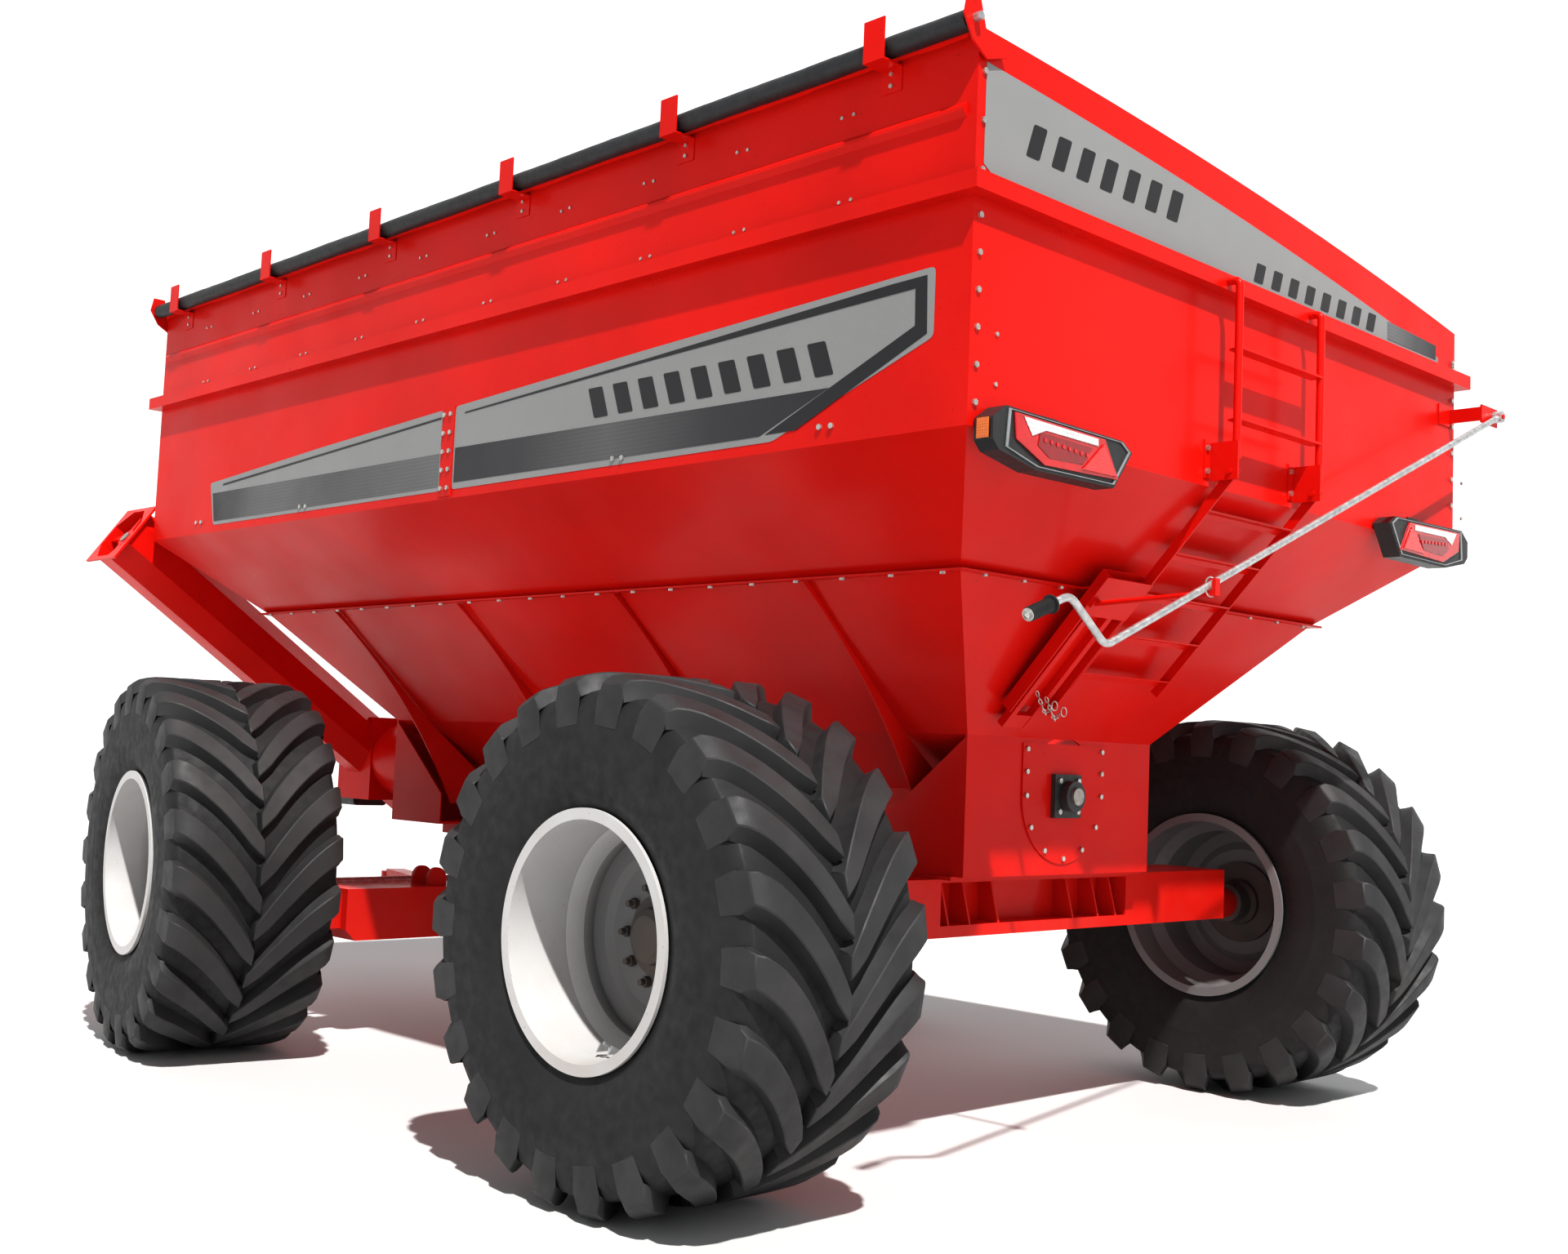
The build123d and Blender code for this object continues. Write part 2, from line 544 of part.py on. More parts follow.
saddle = box(REAR_AXLE_X - half_beam_x - 60, REAR_AXLE_X + half_beam_x, -SUMP_HALF_WID - 20, SUMP_HALF_WID + 20,
             REAR_BEAM_TOP, SUMP_BASE_Z - 12)
axle = axle + saddle
for sign in (1, -1):
    axle = axle + rod((REAR_AXLE_X, sign * (half_beam_y - 5), TYRE_R), (REAR_AXLE_X, sign * spindle_end, TYRE_R), SPINDLE_R)
    collar_end = HALF_TRACK - 150 - GAP
    axle = axle + rod((REAR_AXLE_X, sign * (half_beam_y - 5), TYRE_R), (REAR_AXLE_X, sign * collar_end, TYRE_R), 70)
solids["rear_axle"] = axle

# ---------------------------------------------------------------- front axle and steering
half_fx, half_fy = FRONT_BEAM[0] / 2, FRONT_BEAM[1] / 2
front_base = FRONT_BEAM_TOP - FRONT_BEAM[2]
beam = box(FRONT_AXLE_X - half_fx, FRONT_AXLE_X + half_fx, -half_fy, half_fy, front_base, FRONT_BEAM_TOP)
beam = chamfer(beam.edges().filter_by(Axis.X).sort_by(Axis.Z)[:2], 55)
TUBE_LOW_Z = front_base - 20
TUBE_TOP_Z = FRONT_BEAM_TOP + 30
for sign in (1, -1):
    neck = box(FRONT_AXLE_X - 85, FRONT_AXLE_X + 85, sign * (half_fy - 5), sign * KINGPIN_Y, front_base + 60, FRONT_BEAM_TOP - 20)
    barrel = rod((FRONT_AXLE_X, sign * KINGPIN_Y, TUBE_LOW_Z), (FRONT_AXLE_X, sign * KINGPIN_Y, TUBE_TOP_Z), 88)
    beam = beam + neck + barrel
    beam = beam - rod((FRONT_AXLE_X, sign * KINGPIN_Y, TUBE_LOW_Z - 5), (FRONT_AXLE_X, sign * KINGPIN_Y, TUBE_TOP_Z + 5),
                      KINGPIN_R + BORE_CLEARANCE)
    for x in (-70, 70):
        foot_x = FRONT_AXLE_X + x
        stop = rod((foot_x - 12, sign * 640, FRONT_BEAM_TOP + 40), (foot_x + 12, sign * 640, FRONT_BEAM_TOP + 40), 55)
        stop = stop + box(foot_x - 12, foot_x + 12, sign * 640 - 55, sign * 640 + 55, FRONT_BEAM_TOP - 2, FRONT_BEAM_TOP + 40)
        beam = beam + stop
PIVOT_Z = 900
PIVOT_R = 60
HEAD_LOW_Z = 550
HEAD_TOP_Z = 640
HEAD_PIN_R = 30
centre_lug = rod((FRONT_AXLE_X - 60, 0, PIVOT_Z), (FRONT_AXLE_X + 60, 0, PIVOT_Z), 110)
centre_lug = centre_lug + box(FRONT_AXLE_X - 60, FRONT_AXLE_X + 60, -110, 110, FRONT_BEAM_TOP - 2, PIVOT_Z)
beam = beam + centre_lug - rod((FRONT_AXLE_X - 70, 0, PIVOT_Z), (FRONT_AXLE_X + 70, 0, PIVOT_Z), PIVOT_R + BORE_CLEARANCE)
for low, high in ((HEAD_LOW_Z - 30, HEAD_LOW_Z - GAP), (HEAD_TOP_Z + GAP, HEAD_TOP_Z + 30)):
    nose = box(FRONT_AXLE_X + half_fx - 2, HEAD_X, -90, 90, low, high)
    beam = beam + nose + rod((HEAD_X, 0, low), (HEAD_X, 0, high), 90)
beam = beam - rod((HEAD_X, 0, HEAD_LOW_Z - 40), (HEAD_X, 0, HEAD_TOP_Z + 40), HEAD_PIN_R + BORE_CLEARANCE)
solids["front_axle_beam"] = beam

bolster_top = SUMP_BASE_Z - 12
bolster = box(FRONT_AXLE_X - 230, FRONT_AXLE_X + 230, -420, 420, bolster_top - 60, bolster_top)
for x in (-82, 62):
    cheek = [(FRONT_AXLE_X + x, -300, bolster_top - 58), (FRONT_AXLE_X + x, 300, bolster_top - 58),
             (FRONT_AXLE_X + x, 130, PIVOT_Z - 100), (FRONT_AXLE_X + x, -130, PIVOT_Z - 100)]
    bolster = bolster + prism(cheek, (20, 0, 0))
bolster = bolster + rod((FRONT_AXLE_X - 82, 0, PIVOT_Z), (FRONT_AXLE_X + 82, 0, PIVOT_Z), PIVOT_R)
solids["front_bolster"] = bolster

ARM_Z0 = TUBE_TOP_Z + GAP
ARM_Z1 = ARM_Z0 + 34
HEAD_BLOCK = 78


def make_knuckle(sign):
    """Kingpin with its head, stub spindle and forward steering arm."""
    y = sign * KINGPIN_Y
    pin = rod((FRONT_AXLE_X, y, TUBE_LOW_Z - 40), (FRONT_AXLE_X, y, ARM_Z0 + 2), KINGPIN_R)
    cap = rod((FRONT_AXLE_X, y, TUBE_LOW_Z - 40), (FRONT_AXLE_X, y, TUBE_LOW_Z - GAP), 72)
    block = box(FRONT_AXLE_X - HEAD_BLOCK, FRONT_AXLE_X + HEAD_BLOCK, y - HEAD_BLOCK, y + HEAD_BLOCK, ARM_Z0, TYRE_R + 78)
    spindle = rod((FRONT_AXLE_X, y, TYRE_R), (FRONT_AXLE_X, sign * spindle_end, TYRE_R), SPINDLE_R)
    collar = rod((FRONT_AXLE_X, y, TYRE_R), (FRONT_AXLE_X, sign * (HALF_TRACK - 150 - GAP), TYRE_R), 70)
    arm = box(FRONT_AXLE_X, FRONT_AXLE_X + STEER_ARM, y - 40, y + 40, ARM_Z0, ARM_Z1)
    arm = arm + rod((FRONT_AXLE_X + STEER_ARM, y, ARM_Z0), (FRONT_AXLE_X + STEER_ARM, y, ARM_Z1), 40)
    knuckle = pin + cap + block + spindle + collar + arm
    return turn(knuckle, WHEEL_STEER_DEG, (FRONT_AXLE_X, y, 0))


solids["steering_knuckle_left"] = make_knuckle(1)
solids["steering_knuckle_right"] = make_knuckle(-1)

steer = math.radians(WHEEL_STEER_DEG)
rod_x = FRONT_AXLE_X + STEER_ARM * math.cos(steer)
rod_shift = STEER_ARM * math.sin(steer)
rod_z = ARM_Z0 - 26
tie = rod((rod_x, -KINGPIN_Y + rod_shift, rod_z), (rod_x, KINGPIN_Y + rod_shift, rod_z), 20)
for sign in (1, -1):
    end_y = sign * KINGPIN_Y + rod_shift
    tie = tie + rod((rod_x, end_y, rod_z - 22), (rod_x, end_y, ARM_Z0 - 0.4), 36)
clevis = box(rod_x - 10, HEAD_X + HEAD_ARM + 70, rod_shift - 60, rod_shift + 60, rod_z - 10, rod_z + 10)
slot = box(HEAD_X + HEAD_ARM * 0.6, HEAD_X + HEAD_ARM + 32, rod_shift - 26, rod_shift + 26, rod_z - 15, rod_z + 15)
solids["tie_rod"] = tie + clevis - slot

head = rod((HEAD_X, 0, HEAD_LOW_Z), (HEAD_X, 0, HEAD_TOP_Z), 85)
head = head + box(HEAD_X, HEAD_X + HITCH_PIVOT - 60, -85, 85, HEAD_LOW_Z, HEAD_TOP_Z)
head = head + rod((HEAD_X + HEAD_ARM, 0, HEAD_TOP_Z - 5), (HEAD_X + HEAD_ARM, 0, rod_z + 30), 20)
head = head + rod((HEAD_X, 0, HEAD_LOW_Z - 45), (HEAD_X, 0, HEAD_TOP_Z + 45), HEAD_PIN_R)
HITCH_Z = (HEAD_LOW_Z + HEAD_TOP_Z) / 2
for sign in (1, -1):
    ear = box(HEAD_X + HITCH_PIVOT - 70, HEAD_X + HITCH_PIVOT, sign * 61, sign * 85, HEAD_LOW_Z, HEAD_TOP_Z)
    ear = ear + rod((HEAD_X + HITCH_PIVOT, sign * 61, HITCH_Z), (HEAD_X + HITCH_PIVOT, sign * 85, HITCH_Z), 45)
    head = head + ear
hitch_pin = rod((HEAD_X + HITCH_PIVOT, -100, HITCH_Z), (HEAD_X + HITCH_PIVOT, 100, HITCH_Z), 22)
head = head + hitch_pin
solids["steering_head"] = turn(head, HEAD_STEER_DEG, (HEAD_X, 0, 0))

drawbar_x = HEAD_X + HITCH_PIVOT
bar = rod((drawbar_x, -60, HITCH_Z), (drawbar_x, 60, HITCH_Z), 42)
bar = bar + box(drawbar_x, drawbar_x + DRAWBAR_LEN, -60, 60, HITCH_Z - 42, HITCH_Z + 42)
bar = bar - rod((drawbar_x, -70, HITCH_Z), (drawbar_x, 70, HITCH_Z), 22 + BORE_CLEARANCE)
eye_x = drawbar_x + DRAWBAR_LEN + HITCH_EYE_R - 15
eye = rod((eye_x, 0, HITCH_Z - 22), (eye_x, 0, HITCH_Z + 22), HITCH_EYE_R)
bar = bar + eye - rod((eye_x, 0, HITCH_Z - 30), (eye_x, 0, HITCH_Z + 30), HITCH_HOLE_R)
solids["drawbar"] = turn(bar, HEAD_STEER_DEG, (HEAD_X, 0, 0))

# ---------------------------------------------------------------- tarp roll and its crank
ROLL_R = 42
ROLL_Z = EXT_LEFT_Z + 2
ROLL_Y = HALF_WID + ROLL_R + 4
ROLL_HALF_LEN = HALF_LEN + 8
solids["tarp_roll"] = rod((-ROLL_HALF_LEN, ROLL_Y, ROLL_Z), (ROLL_HALF_LEN, ROLL_Y, ROLL_Z), ROLL_R) + rod(
    (-ROLL_HALF_LEN - 38, ROLL_Y, ROLL_Z), (ROLL_HALF_LEN + 38, ROLL_Y, ROLL_Z), 14)

HOOK_COUNT = 6
HOOK_FIRST = 364
HOOK_SPACING = 1025
hooks = []
for step in range(HOOK_COUNT):
    x = -HALF_LEN + HOOK_FIRST + step * HOOK_SPACING
    back = box(x - 45, x + 45, HALF_WID + 0.5, HALF_WID - 0.5 + 4, ROLL_Z - 130, ROLL_Z - 50)
    seat = box(x - 45, x + 45, HALF_WID + 0.5, ROLL_Y + ROLL_R + 8, ROLL_Z - ROLL_R - 10, ROLL_Z - ROLL_R - 4)
    blade = box(x - 45, x + 45, ROLL_Y + ROLL_R + 2, ROLL_Y + ROLL_R + 8, ROLL_Z - ROLL_R - 10, ROLL_Z + 88)
    hooks.append(back + seat + blade)
ears = []
for sign in (1, -1):
    x = sign * (HALF_LEN + 12)
    outline = [(x, HALF_WID - 120, EXT_LEFT_Z - 75), (x, HALF_WID - 20, EXT_LEFT_Z - 110), (x, HALF_WID + 50, EXT_LEFT_Z - 70),
               (x, ROLL_Y + 50, ROLL_Z), (x, ROLL_Y + 35, ROLL_Z + 70), (x, ROLL_Y - 25, ROLL_Z + 70),
               (x, HALF_WID - 10, EXT_LEFT_Z - 20), (x, HALF_WID - 100, EXT_LEFT_Z - 40)]
    ear = prism(outline, (sign * 8, 0, 0))
    ears.append(ear - rod((x - 20, ROLL_Y, ROLL_Z), (x + 20, ROLL_Y, ROLL_Z), 14 + 0.1))
solids["tarp_brackets"] = group(hooks + ears)

crank_x = -HALF_LEN - CRANK_PLANE
CRANK_TOP = (crank_x, -1760, 3140)
CRANK_BEND = (crank_x, 1190, 1903)
route = [CRANK_TOP, CRANK_BEND, (crank_x, 1385, 2046), (crank_x, 1600, 1965)]
crank_path = FilletPolyline(*route, radius=60)
crank = sweep(Plane(origin=CRANK_TOP, z_dir=crank_path % 0) * Circle(CRANK_R), path=crank_path)
crank = crank + rod((crank_x - 20, *CRANK_TOP[1:]), (crank_x + 20, *CRANK_TOP[1:]), 26)
CRANK_PIN_R = 10
crank = crank - rod((crank_x - 30, *CRANK_TOP[1:]), (crank_x + 30, *CRANK_TOP[1:]), CRANK_PIN_R + BORE_CLEARANCE)
solids["tarp_crank"] = crank
grip_dir = (Vector(*route[3]) - Vector(*route[2])).normalized()
grip_end = Vector(*route[3])
grip = rod(grip_end - grip_dir * 130, grip_end - grip_dir * 8, 24)
solids["crank_grip"] = grip - rod(grip_end - grip_dir * 140, grip_end, CRANK_R + BORE_CLEARANCE)

rest_y = 577
rest_top = CRANK_TOP[2] + (CRANK_BEND[2] - CRANK_TOP[2]) * (rest_y - CRANK_TOP[1]) / (CRANK_BEND[1] - CRANK_TOP[1])
crank_hanger = box(-HALF_LEN - 6, -HALF_LEN, -1650, -1540, 3095, 3185)
crank_hanger = crank_hanger + box(crank_x + 21, -HALF_LEN - 5, -1650, -1638, 3110, 3170)
crank_hanger = crank_hanger + box(crank_x + 21, crank_x + 29, -1800, -1638, 3100, 3180)
crank_hanger = crank_hanger + rod((crank_x - 26, *CRANK_TOP[1:]), (crank_x + 25, *CRANK_TOP[1:]), CRANK_PIN_R)


# ---------------------------------------------------------------- slope behind the rear wall, where the ladder lies
def slope_point(share, y, off):
    """Point near the rear slope: share runs from the crease (0) to the sump (1), off stands out from it."""
    run = Vector(HALF_LEN - SUMP_HALF_LEN, 0, SUMP_TOP_Z - CREASE_Z)
    out = Vector(SUMP_TOP_Z - CREASE_Z, 0, -(HALF_LEN - SUMP_HALF_LEN)).normalized()
    return Vector(-HALF_LEN, y, CREASE_Z) + run * share + out * off


# ---------------------------------------------------------------- ladder
hand_x = -HALF_LEN - HANDRAIL_OUT
rails = []
for y in (LADDER_LEFT_Y, LADDER_RIGHT_Y):
    top_z = RAIL_Z + 30
    path = FilletPolyline((hand_x, y, LADDER_HINGE_Z + 45), (hand_x, y, top_z),
                          (-HALF_LEN - RAIL_OUT, y, top_z), radius=24)
    rails.append(sweep(Plane(origin=path @ 0, z_dir=path % 0) * Circle(LADDER_TUBE_R), path=path))
upper_ladder = rails[0] + rails[1]
for z in (3050, 2790):
    upper_ladder = upper_ladder + box(hand_x - 14, hand_x + 40, LADDER_RIGHT_Y, LADDER_LEFT_Y, z, z + 8)

HINGE_X = -HALF_LEN - 88
feet = []
for y in (LADDER_LEFT_Y, LADDER_RIGHT_Y):
    foot_plate = box(-HALF_LEN - 6, -HALF_LEN, y - 90, y + 60, 2580, 2720)
    foot_web = box(hand_x - 20, -HALF_LEN - 5, y + 17, y + 25, 2570, 2710)
    foot_web = foot_web + box(hand_x - 20, hand_x + 20, y + 15, y + 18, 2630, 2700)
    foot_web = foot_web - rod((HINGE_X, y + 10, LADDER_HINGE_Z), (HINGE_X, y + 30, LADDER_HINGE_Z), 9.9)
    feet.append(foot_plate + foot_web)
solids["ladder_upper"] = group([upper_ladder] + feet)

LADDER_SPAN = 1050
ladder_down = (slope_point(1, 0, 0) - slope_point(0, 0, 0)).normalized()
ladder_out = Vector(ladder_down.Z, 0, -ladder_down.X)
hinge_line = Vector(HINGE_X, 0, LADDER_HINGE_Z)
stiles = []
for y in (LADDER_LEFT_Y, LADDER_RIGHT_Y):
    start = hinge_line + Vector(0, y, 0)
    corner = [start + ladder_out * a + ladder_down * b for a, b in ((-20, -20), (20, -20), (20, LADDER_SPAN), (-20, LADDER_SPAN))]
    stile = extrude(face(corner), amount=4, both=True)
    stiles.append(stile)
lower_ladder = stiles[0] + stiles[1]
for step in range(5):
    at = 190 + step * 200
    tread = [hinge_line + Vector(0, LADDER_RIGHT_Y, 0) + ladder_out * a + ladder_down * b
             for a, b in ((-19, at), (19, at - 30), (19, at - 22), (-13, at + 4), (-13, at + 26), (-19, at + 26))]
    lower_ladder = lower_ladder + extrude(face(tread), amount=LADDER_LEFT_Y - LADDER_RIGHT_Y, dir=(0, 1, 0))
for y in (LADDER_LEFT_Y, LADDER_RIGHT_Y):
    lower_ladder = lower_ladder + rod((HINGE_X, y - 6, LADDER_HINGE_Z), (HINGE_X, y + 32, LADDER_HINGE_Z), 9.8)
solids["ladder_lower"] = lower_ladder

# ---------------------------------------------------------------- gate rods in their channel, left of the ladder
CHANNEL_Y0, CHANNEL_Y1 = 325, 575


def slope_block(share0, share1, y0, y1, off0, off1):
    """Block lying along the rear slope between two shares of its length and two heights off it."""
    corners = [slope_point(share, y0, off)
               for share, off in ((share0, off0), (share1, off0), (share1, off1), (share0, off1))]
    return extrude(face(corners), amount=y1 - y0, dir=(0, 1, 0))


channel = slope_block(0.33, 0.86, CHANNEL_Y0, CHANNEL_Y0 + 6, 10, 62)
channel = channel + slope_block(0.33, 0.86, CHANNEL_Y1 - 6, CHANNEL_Y1, 10, 62)
channel = channel + slope_block(0.33, 0.86, CHANNEL_Y0, CHANNEL_Y1, 10, 16)
hood = slope_block(0.33, 0.47, CHANNEL_Y0 - 8, CHANNEL_Y1 + 30, 62, 68)
channel = channel + hood
flange_tip = -SEAM_HALF_LEN - SEAM_FLANGE
for y in (CHANNEL_Y0 + 20, CHANNEL_Y1 - 50):
    channel = channel + box(flange_tip - 52, flange_tip, y, y + 30, SEAM_Z - 4, SEAM_Z + 4)
solids["gate_channel"] = channel

gate_rods = slope_block(0.36, 0.93, CHANNEL_Y0 + 45, CHANNEL_Y0 + 75, 16.3, 48)
gate_rods = gate_rods + slope_block(0.36, 0.93, CHANNEL_Y1 - 75, CHANNEL_Y1 - 45, 16.3, 48)
gate_rods = gate_rods + slope_block(0.88, 0.93, CHANNEL_Y0 + 45, CHANNEL_Y1 - 45, 20, 46)
solids["gate_rods"] = gate_rods

prop_foot = slope_point(0.42, CHANNEL_Y1 + 10, 78)
prop = rod((prop_foot.X, CHANNEL_Y1 + 10, prop_foot.Z), (crank_x + 30, rest_y, rest_top - 30), 9)
prop = prop + slope_block(0.405, 0.435, CHANNEL_Y1 - 5, CHANNEL_Y1 + 25, 68, 82)
cradle = box(crank_x - 22, crank_x + 34, rest_y - 14, rest_y + 14, rest_top - 40, rest_top - CRANK_R - 10)
cradle = cradle + box(crank_x - 28, crank_x - CRANK_R - 1, rest_y - 14, rest_y + 14, rest_top - 40, rest_top + 20)
solids["crank_brackets"] = group([crank_hanger, prop + cradle])

# ---------------------------------------------------------------- rear lamps
LAMP_DEPTH = 75
lamp_profile = [(1672, 2575), (1610, 2618), (985, 2604), (930, 2572), (1030, 2440), (1450, 2438), (1640, 2475), (1672, 2505)]
lens_profile = [(1500, 2596), (1090, 2586), (1020, 2470), (1400, 2462), (1500, 2520)]
housings, lenses, markers, brackets = [], [], [], []
for sign in (1, -1):
    back = -HALF_LEN - 6
    outline = [(back, sign * y, z) for y, z in lamp_profile]
    housings.append(prism(outline, (-LAMP_DEPTH, 0, 0)))
    lens = [(back - LAMP_DEPTH, sign * y, z) for y, z in lens_profile]
    lenses.append(prism(lens, (-10, 0, 0)))
    markers.append(box(back - 50, back - 12, sign * 1672, sign * 1680, 2515, 2565))
    housings.append(box(back, back + 6, sign * 1250, sign * 1350, 2600, 2640))
solids["lamp_housings"] = group(housings + markers)
solids["lamp_lenses"] = group(lenses)


# ---------------------------------------------------------------- bolts
def bolt_line(start, end, count, out):
    start, end = Vector(*start), Vector(*end)
    return [bolt_head(start + (end - start) * (step / (count - 1)), out) for step in range(count)]


bolts = []
for sign in (1, -1):
    bolts += bolt_line((-HALF_LEN, sign * (HALF_WID - 30), CREASE_Z + 75), (-HALF_LEN, sign * (HALF_WID - 30), RAIL_Z - 60), 6, (-1, 0, 0))
    top_z = EXT_LEFT_Z if sign > 0 else EXT_RIGHT_Z
    bolts += bolt_line((-HALF_LEN, sign * (HALF_WID - 30), RAIL_Z + 85), (-HALF_LEN, sign * (HALF_WID - 30), top_z - 140), 3, (-1, 0, 0))
    bolts += bolt_line((HALF_LEN, sign * (HALF_WID - 30), CREASE_Z + 75), (HALF_LEN, sign * (HALF_WID - 30), RAIL_Z - 60), 6, (1, 0, 0))
    for x in (-24, 24):
        bolts += bolt_line((x, sign * (HALF_WID + 6), CREASE_Z + 45), (x, sign * (HALF_WID + 6), CREASE_Z + 365), 5, (0, sign, 0))
    for x in (-2300, -1200, 1200, 2300):
        bolts += bolt_line((x, sign * HALF_WID, CREASE_Z + 60), (x + 55, sign * HALF_WID, CREASE_Z + 62), 2, (0, sign, 0))
    seam_y = sign * (SEAM_HALF_WID + 24)
    bolts += bolt_line((-SEAM_HALF_LEN + 60, seam_y, SEAM_Z - 4), (SEAM_HALF_LEN - 60, seam_y, SEAM_Z - 4), 21, (0, 0, -1))
bolts += bolt_line((-SEAM_HALF_LEN - 24, -1100, SEAM_Z - 4), (-SEAM_HALF_LEN - 24, 1100, SEAM_Z - 4), 11, (0, 0, -1))
bolts += bolt_line((SEAM_HALF_LEN + 24, -1100, SEAM_Z - 4), (SEAM_HALF_LEN + 24, 1100, SEAM_Z - 4), 11, (0, 0, -1))
bolts += cover_bolts(COVER_R - 22, cover_x)
for y in (-62, 62):
    for z in (-62, 62):
        bolts.append(bolt_head((cover_x - 22, y, AUGER_Z + z), (-1, 0, 0), 12, 10))
solids["hopper_bolts"] = group(bolts)

# ---------------------------------------------------------------- placing and writing
REAR_END = -HALF_LEN - CRANK_PLANE - 28
FRONT_END = HEAD_X + (eye_x - HEAD_X) * math.cos(math.radians(HEAD_STEER_DEG)) + HITCH_EYE_R
SHIFT_X = -(REAR_END + FRONT_END) / 2

os.makedirs("parts", exist_ok=True)
for name, shape in solids.items():
    placed = Pos(SHIFT_X, 0, 0) * shape
    export_step(placed, f"parts/{name}.step")
print("nodes", len(solids), "shift", round(SHIFT_X, 3))
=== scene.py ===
import bmesh
import bpy
import json
import math
import random
from mathutils import Matrix, Vector


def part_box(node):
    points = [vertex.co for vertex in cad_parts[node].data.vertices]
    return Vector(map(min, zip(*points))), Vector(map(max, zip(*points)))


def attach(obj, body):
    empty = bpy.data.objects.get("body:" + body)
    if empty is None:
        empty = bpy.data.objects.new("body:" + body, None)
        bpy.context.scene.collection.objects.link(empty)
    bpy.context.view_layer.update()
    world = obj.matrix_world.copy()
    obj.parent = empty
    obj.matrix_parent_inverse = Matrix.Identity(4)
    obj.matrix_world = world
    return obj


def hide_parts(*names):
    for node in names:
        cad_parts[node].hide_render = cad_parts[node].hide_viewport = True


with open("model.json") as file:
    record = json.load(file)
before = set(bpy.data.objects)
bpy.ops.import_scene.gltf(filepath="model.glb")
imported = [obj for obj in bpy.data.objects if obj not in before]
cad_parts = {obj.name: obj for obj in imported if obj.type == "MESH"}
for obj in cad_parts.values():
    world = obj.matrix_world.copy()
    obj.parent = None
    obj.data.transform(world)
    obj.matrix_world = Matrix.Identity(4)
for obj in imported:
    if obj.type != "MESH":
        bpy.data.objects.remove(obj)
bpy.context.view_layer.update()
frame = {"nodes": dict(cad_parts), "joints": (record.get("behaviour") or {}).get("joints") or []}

SCENE = bpy.context.scene
NODES = frame["nodes"]
JOINTS = {joint["name"]: joint for joint in frame["joints"]}

side_low, side_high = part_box("hopper_side_left")
MID_X = (side_low.x + side_high.x) / 2
HALF_LEN = (side_high.x - side_low.x) / 2
HALF_WID = side_high.y
REAR_X = -HALF_LEN


CAMERA_PLACE = (-6.200, 5.687, 1.515)
CAMERA_YAW, CAMERA_PITCH, CAMERA_ROLL = -44.278, 4.311, 2.313
SENSOR_MM, LENS_MM = 36, 38.99
CLIP_END = 200


def at(x, y, z):
    """Point given from the middle of the hopper, in the row frame."""
    return Vector((MID_X + x, y, z))


# ---------------------------------------------------------------- camera
def add_camera():
    """Camera at the photograph's place, aimed by its compass turn, its tilt and its roll."""
    yaw, pitch, roll = (math.radians(deg) for deg in (CAMERA_YAW, CAMERA_PITCH, CAMERA_ROLL))
    look = Vector((math.cos(yaw) * math.cos(pitch), math.sin(yaw) * math.cos(pitch), math.sin(pitch)))
    level = Vector((math.sin(yaw), -math.cos(yaw), 0))
    above = level.cross(look)
    right = math.cos(roll) * level + math.sin(roll) * above
    up = -math.sin(roll) * level + math.cos(roll) * above
    data = bpy.data.cameras.new("camera")
    data.sensor_width = SENSOR_MM
    data.lens = LENS_MM
    data.clip_end = CLIP_END
    camera = bpy.data.objects.new("camera", data)
    facing = Matrix((right, up, -look)).transposed().to_4x4()
    camera.matrix_world = Matrix.Translation(at(*CAMERA_PLACE)) @ facing
    SCENE.collection.objects.link(camera)
    SCENE.camera = camera


add_camera()


# ---------------------------------------------------------------- materials
MIX_SHARE, MIX_FIRST, MIX_SECOND, MIX_COLOUR = 0, 6, 7, 2
NOISE_LOW, NOISE_HIGH = 0.3, 0.7


def new_material(name):
    material = bpy.data.materials.new(name)
    material.use_nodes = True
    tree = material.node_tree
    return material, tree, tree.nodes["Principled BSDF"]


def link(tree, source, target):
    tree.links.new(source, target)


def noise(tree, scale, detail=4.0, stretch=None):
    """Noise laid in object space, from 0 to 1 with most of it between 0.3 and 0.7."""
    coords = tree.nodes.new("ShaderNodeTexCoord")
    texture = tree.nodes.new("ShaderNodeTexNoise")
    texture.inputs["Scale"].default_value = scale
    texture.inputs["Detail"].default_value = detail
    source = coords.outputs["Object"]
    if stretch:
        mapping = tree.nodes.new("ShaderNodeMapping")
        mapping.inputs["Scale"].default_value = stretch
        link(tree, source, mapping.inputs["Vector"])
        source = mapping.outputs["Vector"]
    link(tree, source, texture.inputs["Vector"])
    return texture.outputs["Fac"]


def ramp(tree, source, stops):
    """Colour ramp through stops of (place, colour)."""
    node = tree.nodes.new("ShaderNodeValToRGB")
    while len(node.color_ramp.elements) < len(stops):
        node.color_ramp.elements.new(0.5)
    for element, (place, colour) in zip(node.color_ramp.elements, stops):
        element.position = place
        element.color = (*colour, 1)
    link(tree, source, node.inputs["Fac"])
    return node.outputs["Color"]


def mix(tree, share, first, second):
    """Colour between two colours; each colour is a socket or a plain value."""
    node = tree.nodes.new("ShaderNodeMix")
    node.data_type = "RGBA"
    link(tree, share, node.inputs[MIX_SHARE])
    for socket, value in ((MIX_FIRST, first), (MIX_SECOND, second)):
        if hasattr(value, "is_linked"):
            link(tree, value, node.inputs[socket])
        else:
            node.inputs[socket].default_value = (*value, 1)
    return node.outputs[MIX_COLOUR]


